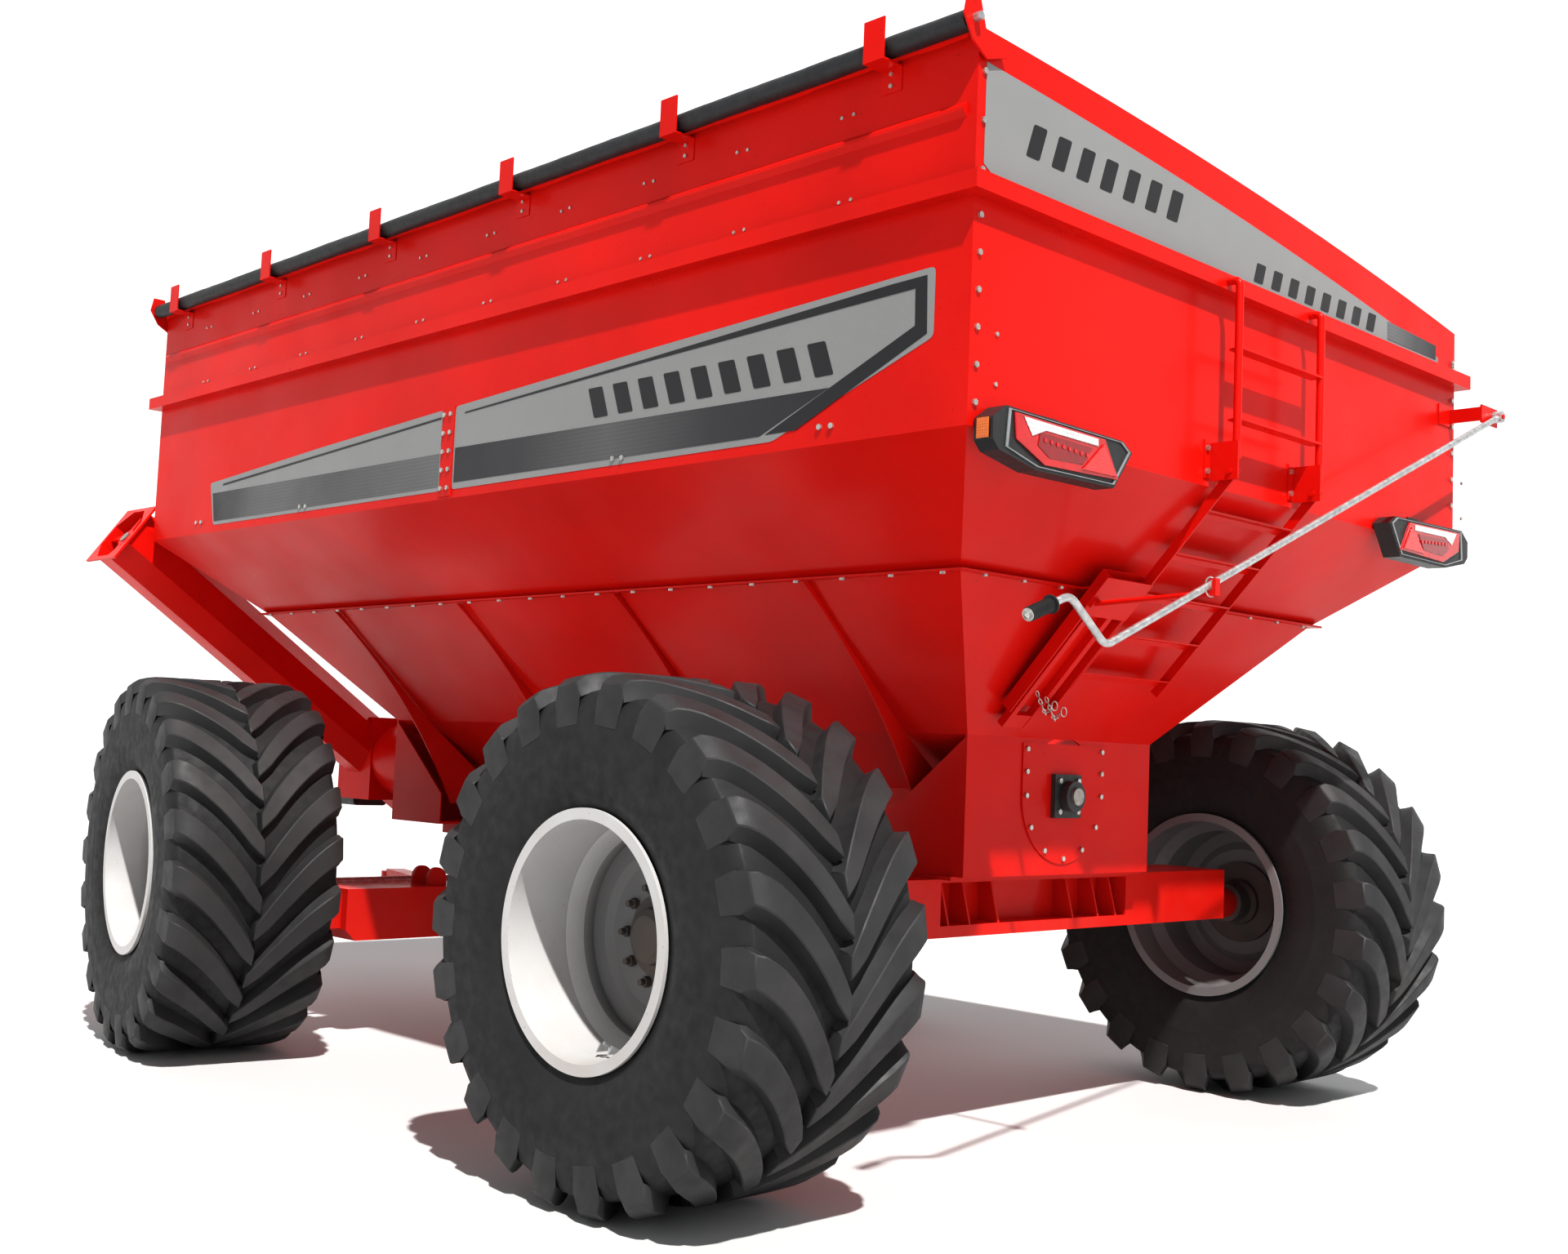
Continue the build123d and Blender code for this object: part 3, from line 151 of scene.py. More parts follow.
def spread(tree, source, low, high, from_low=NOISE_LOW, from_high=NOISE_HIGH):
    """Value carried from one range to another, and held at its ends."""
    node = tree.nodes.new("ShaderNodeMapRange")
    node.inputs["From Min"].default_value = from_low
    node.inputs["From Max"].default_value = from_high
    node.inputs["To Min"].default_value = low
    node.inputs["To Max"].default_value = high
    link(tree, source, node.inputs["Value"])
    return node.outputs["Result"]


def bump(tree, shader, source, strength, distance):
    node = tree.nodes.new("ShaderNodeBump")
    node.inputs["Strength"].default_value = strength
    node.inputs["Distance"].default_value = distance
    link(tree, source, node.inputs["Height"])
    link(tree, node.outputs["Normal"], shader.inputs["Normal"])


def shade(colour, factor):
    """Colour made darker or lighter."""
    return tuple(min(1.0, channel * factor) for channel in colour)


def mottle(tree, colour, darker, lighter, scale, detail, stretch=None):
    """Colour that drifts between a darker and a lighter tone."""
    stops = [(NOISE_LOW, shade(colour, darker)), (NOISE_HIGH, shade(colour, lighter))]
    return ramp(tree, noise(tree, scale, detail, stretch), stops)


def object_axis(tree, axis):
    """One coordinate of the surface point in its piece's own space."""
    coords = tree.nodes.new("ShaderNodeTexCoord")
    place = tree.nodes.new("ShaderNodeSeparateXYZ")
    link(tree, coords.outputs["Object"], place.inputs[0])
    return place.outputs[axis]


def cell_pattern(tree, scale, randomness):
    """Distance from the middles of small cells."""
    coords = tree.nodes.new("ShaderNodeTexCoord")
    cells = tree.nodes.new("ShaderNodeTexVoronoi")
    cells.inputs["Scale"].default_value = scale
    cells.inputs["Randomness"].default_value = randomness
    link(tree, coords.outputs["Object"], cells.inputs["Vector"])
    return cells.outputs["Distance"]


def arithmetic(tree, operation, *values):
    """Result of one sum or product of sockets."""
    node = tree.nodes.new("ShaderNodeMath")
    node.operation = operation
    for socket, value in zip(node.inputs, values):
        link(tree, value, socket)
    return node.outputs[0]


DUST_COLOUR, DUST_LOW_Z, DUST_HIGH_Z = (0.34, 0.22, 0.15), 0.3, 1.9
# Dark grey of the painted shade on inboard faces, and the width over which it fades in.
PAINTED_SHADE_COLOUR, PAINTED_SHADE_WIDTH = (0.085, 0.086, 0.088), 0.10


def enamel(name, colour, rough=0.34, coat=0.10, dust=0.0, inner=0.0):
    """Sprayed enamel: slow tone changes, faint orange peel, fine scuffs and, low down, dust.

    Nearer the middle of the cart than the distance inner, the paint is darkened to dark grey as painted shade,
    standing in for the shade on the inboard side.
    """
    material, tree, shader = new_material(name)
    tone = mottle(tree, colour, 0.86, 1.08, 1.3, 5)
    specks = spread(tree, noise(tree, 85, 3), 0.0, 1.0, 0.69, 0.76)
    tone = mix(tree, specks, tone, shade(colour, 0.6))
    if dust:
        low_down = spread(tree, object_axis(tree, "Z"), dust, 0.0, DUST_LOW_Z, DUST_HIGH_Z)
        patches = arithmetic(tree, "MULTIPLY", low_down, spread(tree, noise(tree, 7, 6), 0.3, 1.0))
        tone = mix(tree, patches, tone, DUST_COLOUR)
    # Painted shade: inboard of the distance inner the colour turns dark grey, standing in for the shade on the
    # wheel's inner side.
    if inner:
        across = arithmetic(tree, "ABSOLUTE", object_axis(tree, "Y"))
        painted_shade = spread(tree, across, 0.8, 0.0, inner, inner + PAINTED_SHADE_WIDTH)
        tone = mix(tree, painted_shade, tone, PAINTED_SHADE_COLOUR)
    link(tree, tone, shader.inputs["Base Color"])
    link(tree, spread(tree, noise(tree, 3.1, 6), rough * 0.8, rough * 1.35), shader.inputs["Roughness"])
    shader.inputs["Coat Weight"].default_value = coat
    shader.inputs["Coat Roughness"].default_value = 0.12
    shader.inputs["Specular IOR Level"].default_value = 0.12
    bump(tree, shader, noise(tree, 240, 2), 0.05, 0.0008)
    return material


def metal(name, colour, rough=0.35, spangle=18, grain=0.1, stretch=None):
    """Plated or bare steel: a mottled tone, uneven gloss and a fine grain."""
    material, tree, shader = new_material(name)
    link(tree, mottle(tree, colour, 0.72, 1.12, spangle, 3, stretch), shader.inputs["Base Color"])
    gloss = spread(tree, noise(tree, spangle * 2.3, 5), rough * 0.7, rough * 1.5)
    link(tree, gloss, shader.inputs["Roughness"])
    shader.inputs["Metallic"].default_value = 0.85
    bump(tree, shader, noise(tree, spangle * 9, 3), grain, 0.0008)
    return material


def moulded(name, colour, rough, vary, scale, grain, fine, dust=None):
    """Rubber, plastic or coated cloth: uneven tone, a fine moulded grain and, if asked, dust in patches."""
    material, tree, shader = new_material(name)
    tone = mottle(tree, colour, 1 - vary, 1 + vary, scale, 6)
    if dust:
        tone = mix(tree, spread(tree, noise(tree, scale * 0.55, 8), 0.0, 0.5, 0.45, 0.8), tone, dust)
    link(tree, tone, shader.inputs["Base Color"])
    gloss = spread(tree, noise(tree, scale * 3, 4), rough * 0.85, min(1.0, rough * 1.15))
    link(tree, gloss, shader.inputs["Roughness"])
    bump(tree, shader, noise(tree, fine, 3), grain, 0.001)
    return material


def lens(name, colour, rough=0.12, cells=None, glow=0.0):
    """Moulded lamp plastic with an optional pattern of small cells."""
    material, tree, shader = new_material(name)
    tone = mottle(tree, colour, 0.8, 1.0, 30, 3)
    if cells:
        distance = cell_pattern(tree, cells, 0.15)
        tone = mix(tree, spread(tree, distance, 0.0, 0.55, 0.25, 0.6), tone, shade(colour, 0.35))
        bump(tree, shader, distance, 0.6, 0.003)
    link(tree, tone, shader.inputs["Base Color"])
    link(tree, spread(tree, noise(tree, 12, 3), rough * 0.8, rough * 1.4), shader.inputs["Roughness"])
    shader.inputs["Coat Weight"].default_value = 0.8
    # glow is painted light: the plastic shines on its own; it is used on the reflector, which holds no lamp.
    if glow:
        shader.inputs["Emission Color"].default_value = (*colour, 1)
        shader.inputs["Emission Strength"].default_value = glow
    return material


def film(name, colour, sparkle=0.08):
    """Printed film: a flat tone with the fine grain of the print."""
    material, tree, shader = new_material(name)
    grain = mottle(tree, colour, 1 - sparkle, 1 + sparkle, 420, 2)
    tone = mix(tree, spread(tree, noise(tree, 2.2, 5), 0.0, 0.35), grain, shade(colour, 0.82))
    link(tree, tone, shader.inputs["Base Color"])
    link(tree, spread(tree, noise(tree, 5, 4), 0.32, 0.5), shader.inputs["Roughness"])
    return material


def fading_film(name, dark, light, axis, stops, dot_scale=62):
    """Film that goes from dark to light along an axis, by stops of (place, share), under a net of dots."""
    material, tree, shader = new_material(name)
    low, high = stops[0][0], stops[-1][0]
    along = spread(tree, object_axis(tree, axis), 0.0, 1.0, low, high)
    blend = []
    for place, share in stops:
        tone = tuple(first + (last - first) * share for first, last in zip(dark, light))
        blend.append(((place - low) / (high - low), tone))
    dots = spread(tree, cell_pattern(tree, dot_scale, 0.0), 0.0, 0.6, 0.38, 0.5)
    link(tree, mix(tree, dots, ramp(tree, along, blend), shade(dark, 2.0)), shader.inputs["Base Color"])
    link(tree, spread(tree, noise(tree, 6, 4), 0.32, 0.48), shader.inputs["Roughness"])
    return material


RED = (0.62, 0.0080, 0.0042)
GREY, BLACK = (0.235, 0.237, 0.237), (0.012, 0.012, 0.014)
TREAD_TONE, TREAD_DUST = (0.021, 0.021, 0.0225), (0.052, 0.050, 0.048)
WALL_TONE, WALL_DUST = (0.0085, 0.0085, 0.0095), (0.019, 0.0185, 0.018)
MATERIALS = {
    "red_paint": enamel("red_paint", RED),
    "red_low": enamel("red_low", shade(RED, 0.97), 0.36, 0.08, dust=0.07),
    # The rims' inboard side, nearer the middle than 1.90 m, is given painted shade; the dust on them is real dust.
    "rim_paint": enamel("rim_paint", (0.56, 0.565, 0.57), 0.4, 0.15, dust=0.3, inner=1.90),
    "hub_paint": enamel("hub_paint", (0.07, 0.071, 0.073), 0.5, 0.05, dust=0.3),
    "zinc": metal("zinc", (0.62, 0.61, 0.57), 0.3, 60),
    "galvanised": metal("galvanised", (0.60, 0.61, 0.61), 0.4, 34, 0.2),
    "auger_steel": metal("auger_steel", (0.42, 0.40, 0.37), 0.38, 12, 0.15, (1, 6, 6)),
    "cast_grey": moulded("cast_grey", (0.035, 0.036, 0.038), 0.5, 0.3, 20, 0.5, 90),
    "tyre_rubber": moulded("tyre_rubber", TREAD_TONE, 0.62, 0.2, 5, 0.3, 210, TREAD_DUST),
    "tyre_wall": moulded("tyre_wall", WALL_TONE, 0.7, 0.2, 7, 0.35, 230, WALL_DUST),
    "lamp_black": moulded("lamp_black", (0.022, 0.023, 0.024), 0.45, 0.2, 14, 0.3, 300),
    "lamp_edge": moulded("lamp_edge", (0.24, 0.25, 0.26), 0.35, 0.15, 14, 0.2, 300),
    "lamp_red": lens("lamp_red", (0.55, 0.006, 0.008)),
    "lamp_deep": lens("lamp_deep", (0.26, 0.003, 0.005), 0.16),
    # The reflector's faint glow is painted light, though it holds no lamp.
    "lamp_reflector": lens("lamp_reflector", (0.85, 0.012, 0.012), 0.2, cells=150, glow=0.12),
    "lamp_white": lens("lamp_white", (0.80, 0.80, 0.80), 0.14, cells=70),
    "lamp_amber": lens("lamp_amber", (0.80, 0.17, 0.01), 0.15, cells=110),
    "tarp_cloth": moulded("tarp_cloth", (0.016, 0.017, 0.019), 0.55, 0.3, 18, 0.5, 420),
    "grip_rubber": moulded("grip_rubber", (0.018, 0.018, 0.019), 0.55, 0.2, 24, 0.4, 500),
    "film_grey": film("film_grey", GREY),
    "film_black": film("film_black", BLACK, 0.2),
}

NODE_MATERIAL = {
    "hopper_bolts": "zinc", "tarp_crank": "galvanised", "tie_rod": "galvanised", "sump_auger": "auger_steel",
    "unload_auger_lower": "auger_steel", "unload_auger_upper": "auger_steel", "pto_input_shaft": "auger_steel",
    "auger_bearing": "cast_grey", "gearbox": "cast_grey", "lamp_housings": "lamp_black",
    "rear_axle": "red_low", "front_axle_beam": "red_low", "front_bolster": "red_low", "steering_head": "red_low",
    "steering_knuckle_left": "red_low", "steering_knuckle_right": "red_low", "drawbar": "red_low",
    "sump_end_front": "red_low", "sump_trough": "red_low", "funnel_ribs": "red_low",
}


def paint_nodes():
    """Give every CAD node its material."""
    for name, node in NODES.items():
        kind = NODE_MATERIAL.get(name, "red_paint")
        if name.startswith("rim_"):
            kind = "rim_paint"
        elif name.startswith("hub_"):
            kind = "hub_paint"
        node.data.materials.clear()
        node.data.materials.append(MATERIALS[kind])


paint_nodes()


# ---------------------------------------------------------------- mesh helpers
BEVEL_ANGLE = math.radians(35)


def finish_mesh(name, bm, material, body, smooth=False, bevel=0.0, auto=None):
    """Make a piece that rides its body; auto is the angle in degrees past which an edge is sharp."""
    bmesh.ops.recalc_face_normals(bm, faces=bm.faces)
    data = bpy.data.meshes.new(name)
    bm.to_mesh(data)
    bm.free()
    names = material if isinstance(material, (list, tuple)) else [material]
    for each in names:
        data.materials.append(MATERIALS[each])
    obj = bpy.data.objects.new(name, data)
    SCENE.collection.objects.link(obj)
    for polygon in data.polygons:
        polygon.use_smooth = smooth
    if auto is not None:
        data.set_sharp_from_angle(angle=math.radians(auto))
    if bevel:
        modifier = obj.modifiers.new("edge", "BEVEL")
        modifier.width = bevel
        modifier.segments = 2
        modifier.limit_method = "ANGLE"
        modifier.angle_limit = BEVEL_ANGLE
    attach(obj, body)
    return obj


def add_prism(bm, points, run):
    """Closed prism: a polygon through 3D points, pushed along a vector."""
    run = Vector(run)
    first = [bm.verts.new(point) for point in points]
    last = [bm.verts.new(Vector(point) + run) for point in points]
    bm.faces.new(first)
    bm.faces.new(list(reversed(last)))
    count = len(points)
    for step in range(count):
        after = (step + 1) % count
        bm.faces.new((first[step], last[step], last[after], first[after]))


def add_lathe(bm, profile, place, steps, index=0):
    """Closed profile of (along, radius) turned about place's second axis."""
    rings = []
    for step in range(steps):
        angle = 2 * math.pi * step / steps
        rings.append([bm.verts.new(place @ Vector((radius * math.cos(angle), along, radius * math.sin(angle))))
                      for along, radius in profile])
    count = len(profile)
    for step in range(steps):
        here, there = rings[step], rings[(step + 1) % steps]
        for number in range(count):
            after = (number + 1) % count
            face = bm.faces.new((here[number], here[after], there[after], there[number]))
            face.material_index = index


def add_skin(bm, rings):
    """Closed skin through a row of rings, with flat ends."""
    count = len(rings[0])
    for here, there in zip(rings, rings[1:]):
        for k in range(count):
            bm.faces.new((here[k], here[(k + 1) % count], there[(k + 1) % count], there[k]))
    bm.faces.new(rings[0])
    bm.faces.new(list(reversed(rings[-1])))


def add_tube(bm, points, radius, sides=10, loop=False):
    """Round tube along a list of points, with closed ends or joined into a loop."""
    points = [Vector(point) for point in points]
    rings = []
    count = len(points)
    side = None
    for step, point in enumerate(points):
        if loop:
            along = points[(step + 1) % count] - points[step - 1]
        else:
            along = points[min(step + 1, count - 1)] - points[max(step - 1, 0)]
        along.normalize()
        if side is None:
            side = along.orthogonal().normalized()
        side = (side - along * side.dot(along)).normalized()
        other = along.cross(side)
        rings.append([bm.verts.new(point + (side * math.cos(a) + other * math.sin(a)) * radius)
                      for a in (2 * math.pi * k / sides for k in range(sides))])
    for step in range(count if loop else count - 1):
        here, there = rings[step], rings[(step + 1) % count]
        for k in range(sides):
            bm.faces.new((here[k], here[(k + 1) % sides], there[(k + 1) % sides], there[k]))
    if not loop:
        bm.faces.new(rings[0])
        bm.faces.new(rings[-1])


def ring_points(centre, across, up, radius, count=16):
    """Points of a circle in the plane of across and up."""
    return [Vector(centre) + (Vector(across) * math.cos(a) + Vector(up) * math.sin(a)) * radius
            for a in (2 * math.pi * k / count for k in range(count))]


# ---------------------------------------------------------------- tyres
TYRE_TOP_R = 0.884
TYRE_STEPS = 112
TYRE_HALF = [
    (0.336, 0.4065), (0.350, 0.436), (0.356, 0.452), (0.366, 0.470), (0.378, 0.505), (0.3845, 0.56),
    (0.386, 0.60), (0.3865, 0.604), (0.3865, 0.612), (0.386, 0.616), (0.3865, 0.66), (0.385, 0.72),
    (0.380, 0.762), (0.370, 0.790), (0.352, 0.812), (0.320, 0.822),
]
TYRE_INNER = [
    (-0.30, 0.4065), (-0.33, 0.60), (-0.32, 0.72), (-0.26, 0.775),
    (0.26, 0.775), (0.32, 0.72), (0.33, 0.60), (0.30, 0.4065),
]
CARCASS_R, CARCASS_DROP = 0.834, 0.022
TREAD_HALF = 0.372
LUG_COUNT, LUG_STEPS = 22, 14
LUG_FOOT = (0.050, 0.386, 0.70, 0.775)
LUG_CORNER = (0.056, 0.378, 0.805, 0.858)
LUG_CORNER_SHARE = 0.16
LUG_TREAD_WIDTHS = (0.055, 0.034)
LUG_END_OFFSET = -0.008
LUG_SINK = 0.01
LUG_SWEEP, LUG_STRAIGHT, LUG_CURVE = 0.45, 0.36, 1.7
LUG_FLANKS = ((0.0, 1.42), (0.5, 1.12), (1.0, 0.92))
LUG_UNDERCUT = 0.012
HOOK_START, HOOK_BACK, HOOK_EASE = 0.86, 0.012, 0.55
SLOPE_RADIUS = 0.86


def carcass_radius(offset):
    """Radius of the tyre between its lugs, crowned across the tread."""
    share = min(1.0, abs(offset) / TREAD_HALF)
    return CARCASS_R - CARCASS_DROP * share ** 3


def tread_share(share):
    """Share of the way over the tread, where share runs from the lug's foot on the sidewall to the middle."""
    return max(0.0, (share - LUG_CORNER_SHARE) / (1 - LUG_CORNER_SHARE))


def lug_station(share):
    """Half width, offset from the middle, base radius and top radius of a lug."""
    if share < LUG_CORNER_SHARE:
        part = share / LUG_CORNER_SHARE
        return tuple(foot + (corner - foot) * part for foot, corner in zip(LUG_FOOT, LUG_CORNER))
    part = tread_share(share)
    corner_offset, corner_top = LUG_CORNER[1], LUG_CORNER[3]
    first_width, last_width = LUG_TREAD_WIDTHS
    width = first_width + (last_width - first_width) * part
    offset = corner_offset + (LUG_END_OFFSET - corner_offset) * part
    top = corner_top + (TYRE_TOP_R - corner_top) * min(1.0, part * 5) ** 0.6
    return width, offset, carcass_radius(offset) - LUG_SINK, top


def add_lug(bm, place, start, sign, turn_way):
    """One curved bar of the tread, from low on the shoulder to just past the middle, with sloping flanks."""
    rings = []
    curved = 1 - LUG_STRAIGHT
    travel = LUG_CORNER[1] - LUG_END_OFFSET
    for step in range(LUG_STEPS + 1):
        share = step / LUG_STEPS
        width, offset, base, top = lug_station(share)
        inner = tread_share(share)
        hook = max(0.0, inner - HOOK_START) / (1 - HOOK_START)
        sweep = LUG_SWEEP * (LUG_STRAIGHT * inner + curved * inner ** LUG_CURVE)
        angle = start + turn_way * (sweep - HOOK_BACK * hook)
        slope = 0.0
        if inner:
            steepness = LUG_SWEEP * (LUG_STRAIGHT + curved * LUG_CURVE * inner ** (LUG_CURVE - 1))
            slope = steepness / travel * SLOPE_RADIUS * (1 - HOOK_EASE * hook)
        half = width * math.sqrt(1 + slope * slope) / TYRE_TOP_R
        levels = [(base + (top - base) * rise, grow * half) for rise, grow in LUG_FLANKS]
        ring = [(radius, angle - reach) for radius, reach in levels]
        ring += [(radius, angle + reach) for radius, reach in reversed(levels)]
        undercut = LUG_UNDERCUT if step == LUG_STEPS else 0.0
        verts = []
        for number, (radius, turn) in enumerate(ring):
            across = offset - undercut if number in (0, len(ring) - 1) else offset
            local = Vector((radius * math.cos(turn), sign * across, radius * math.sin(turn)))
            verts.append(bm.verts.new(place @ local))
        rings.append(verts)
    add_skin(bm, rings)


def tyre_profile():
    """Outer and inner skin of the tyre as (along, radius), from the outer bead round to the inner one."""
    outer = TYRE_HALF + [(offset, carcass_radius(offset)) for offset in (0.24, 0.12, 0.0)]
    outer += [(-along, radius) for along, radius in reversed(outer[:-1])]
    return outer + TYRE_INNER


def wheel_axis(end, side):
    """Middle of a wheel, and the direction along its spindle away from the cart."""
    joint = JOINTS[f"spin_{end}_{side}"]
    axis = Vector(joint["axis"]).normalized()
    return Vector(joint["pos_m"]), axis if side == "left" else -axis


def add_tyre(end, side):
    """Tyre with its two staggered rows of lugs, which point forward over the top of the wheel."""
    centre, outward = wheel_axis(end, side)
    up = Vector((0, 0, 1))
    forward = outward.cross(up).normalized()
    place = Matrix.Translation(centre) @ Matrix((forward, outward, up)).transposed().to_4x4()
    bm = bmesh.new()
    add_lathe(bm, tyre_profile(), place, TYRE_STEPS, 1)
    turn_way = 1 if side == "left" else -1
    pitch = 2 * math.pi / LUG_COUNT
    for number in range(LUG_COUNT):
        for sign, stagger in ((1, 0.0), (-1, 0.5)):
            add_lug(bm, place, (number + stagger) * pitch, sign, turn_way)
    obj = finish_mesh(f"treaded_tyre_{end}_{side}", bm, ["tyre_rubber", "tyre_wall"], f"wheel_{end}_{side}",
                      smooth=True, auto=28)
    modifier = obj.modifiers.new("edge", "BEVEL")
    modifier.width = 0.004
    modifier.segments = 1
    modifier.limit_method = "ANGLE"
    modifier.angle_limit = math.radians(32)
    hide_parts(f"tyre_{end}_{side}")


GUARD_OUT, GUARD_R = 0.20, 0.372
GUARD_HALF, GUARD_THICK = 0.028, 0.005
GUARD_CHEEK = ((0.05, 0.0), (0.035, 0.028), (0.0, 0.012))
VALVE_STEM = ((0.02, 0.0), (0.02, 0.02), (0.045, 0.034))
VALVE_R = 0.006


def add_valve_bracket(end, side):
    """Valve guard welded inside the rim barrel, with its stem."""
    centre, outward = wheel_axis(end, side)
    down = Vector((0, 0, -1))
    across = outward.cross(down)
    bm = bmesh.new()
    base = centre + outward * GUARD_OUT + down * GUARD_R
    for way in (-1, 1):
        corner = base + across * (GUARD_HALF * way)
        cheek = [corner] + [corner + outward * out - down * rise for out, rise in GUARD_CHEEK]
        add_prism(bm, cheek, across * (GUARD_THICK * way))
    add_tube(bm, [base + outward * out - down * rise for out, rise in VALVE_STEM], VALVE_R)
    finish_mesh(f"valve_guard_{end}_{side}", bm, "galvanised", f"wheel_{end}_{side}")


for end in ("rear", "front"):
    for side in ("left", "right"):
        add_tyre(end, side)
        add_valve_bracket(end, side)


# ---------------------------------------------------------------- printed films on the sides and the rear
FILM = 0.0012
FILM_GAP = 0.0003
SPLICE_HALF = 0.047


def side_point(sign, lift):
    """Function that puts a point (x, z) on the left or right wall."""
    return lambda point: at(point[0], sign * (HALF_WID + lift), point[1])


def rear_point(lift):
    """Function that puts a point (y, z) on the rear wall."""
    return lambda point: at(REAR_X - lift, point[0], point[1])


def rounded(points, radius, steps=4):
    """Polygon with its corners rounded by short arcs."""
    result = []
    count = len(points)
    for number in range(count):
        corner = Vector(points[number])
        before, after = Vector(points[number - 1]) - corner, Vector(points[(number + 1) % count]) - corner
        reach = min(radius, before.length * 0.4, after.length * 0.4)
        first, last = corner + before.normalized() * reach, corner + after.normalized() * reach
        for step in range(steps + 1):
            share = step / steps
            result.append(first * (1 - share) ** 2 + corner * (2 * share * (1 - share)) + last * share ** 2)
    return result


def add_film(name, points, place, run, material, radius=0.0):
    """One thin film with its corners rounded by the radius."""
    outline = rounded(points, radius) if radius else [Vector(point) for point in points]
    bm = bmesh.new()
    add_prism(bm, [place(point) for point in outline], run)
    return finish_mesh(name, bm, material, "chassis")


def clip_to(points, low, high):
    """Part of a polygon of (x, z) between two x values."""
    for bound, keep_above in ((low, True), (high, False)):
        kept = []
        for number in range(len(points)):
            first, second = points[number - 1], points[number]
            inside = [(p[0] >= bound) == keep_above or p[0] == bound for p in (first, second)]
            if inside[0] != inside[1]:
                share = (bound - first[0]) / (second[0] - first[0])
                kept.append((bound, first[1] + (second[1] - first[1]) * share))
            if inside[1]:
                kept.append(second)
        points = kept
    return points


SIDE_FIELD = [(2.226, 2.811), (2.168, 2.588), (-2.014, 2.588), (-2.733, 2.848), (-2.733, 3.075), (-2.560, 3.068),
              (-1.3, 3.010), (0.0, 2.944), (1.1, 2.884)]
SIDE_FRAME_OUT = [(-0.12, 2.915), (-1.3, 2.975), (-2.55, 3.047), (-2.700, 3.052), (-2.706, 2.862), (-2.13, 2.615)]
SIDE_FRAME_IN = [(-1.98, 2.615), (-2.655, 2.895), (-2.652, 3.016), (-2.545, 3.012), (-1.3, 2.963), (-0.12, 2.908)]
SIDE_BAND = [(-0.06, 2.617), (-0.06, 2.766), (-2.28, 2.742), (-1.95, 2.612)]
SIDE_TAIL = [(2.19, 2.755), (2.16, 2.607), (0.06, 2.607), (0.06, 2.752)]
SIDE_LINE = [(2.08, 2.797), (0.06, 2.912), (0.06, 2.903), (2.08, 2.787)]
SIDE_BARS = {"start": -2.30, "low": 2.785, "high": 2.905,
             "count": 9, "pitch": 0.150, "width": 0.085, "lean": 0.045}
REAR_BARS = {"start": 1.45, "low": 3.47, "high": 3.585,
             "count": 7, "pitch": -0.135, "width": -0.07, "lean": -0.04}
CODE_BARS = {"start": 0.04, "low": 3.378, "high": 3.455,
             "count": 8, "pitch": -0.128, "width": -0.065, "lean": -0.025}
FADE_FAR = [(0.0, 1.0), (0.9, 0.55), (1.6, 0.9), (2.16, 0.0)]
FADE_NEAR = [(-2.2, 0.0), (-1.7, 0.1), (-1.1, 0.72), (-0.5, 0.1), (-0.06, 0.0)]
FADE_REAR = [(-1.51, 0.0), (-1.36, 0.35), (-1.1, 1.0), (-1.0, 1.0)]


def slanted_bars(start, low, high, count, pitch, width, lean):
    """Row of plain slanted bars."""
    bars = []
    for step in range(count):
        x = start + step * pitch
        bars.append([(x, low), (x + width, low), (x + width + lean, high), (x + lean, high)])
    return bars


def along_cart(stops):
    """Stops of (place, share) carried from the middle of the hopper to the row frame."""
    return [(MID_X + place, share) for place, share in stops]


MATERIALS["film_fade_far"] = fading_film("film_fade_far", BLACK, GREY, "X", along_cart(FADE_FAR))
MATERIALS["film_fade_near"] = fading_film("film_fade_near", BLACK, GREY, "X", along_cart(FADE_NEAR))
MATERIALS["film_fade_rear"] = fading_film("film_fade_rear", BLACK, GREY, "Y", FADE_REAR, 70)


def add_side_films(side, sign):
    """Grey field in two parts, parted at the splice, with the printed shapes over it."""
    run = (0, sign * FILM, 0)
    base, over = side_point(sign, FILM_GAP), side_point(sign, FILM_GAP + FILM)
    for part, low, high in (("rear", -3, -SPLICE_HALF), ("front", SPLICE_HALF, 3)):
        add_film(f"side_film_{part}_{side}", clip_to(SIDE_FIELD, low, high), base, run, "film_grey", 0.02)
    add_film(f"side_frame_{side}", SIDE_FRAME_OUT + SIDE_FRAME_IN, over, run, "film_black")
    add_film(f"side_band_{side}", SIDE_BAND, over, run, "film_fade_near")
    add_film(f"side_tail_{side}", SIDE_TAIL, over, run, "film_fade_far")
    add_film(f"side_line_{side}", SIDE_LINE, over, run, "film_black")
    for number, bar in enumerate(slanted_bars(**SIDE_BARS)):
        add_film(f"side_bar_{side}_{number}", bar, over, run, "film_black", 0.008)


for side, sign in (("left", 1), ("right", -1)):
    add_side_films(side, sign)


REAR_LOW, REAR_LEFT_Y, REAR_RIGHT_Y = 3.352, 1.660, -1.53
REAR_CORNER = [(REAR_LEFT_Y, 3.385), (1.60, REAR_LOW)]
REAR_FADE = [(-1.05, REAR_LOW + 0.022), (-1.505, REAR_LOW + 0.022), (-1.505, REAR_LOW + 0.085),
             (-1.05, REAR_LOW + 0.10)]
REAR_INSET, REAR_EXTRA, REAR_TOP_LIMIT = 0.105, 0.06, 3.74
EXTENSION_BOW = 0.045
REAR_STEPS = 16


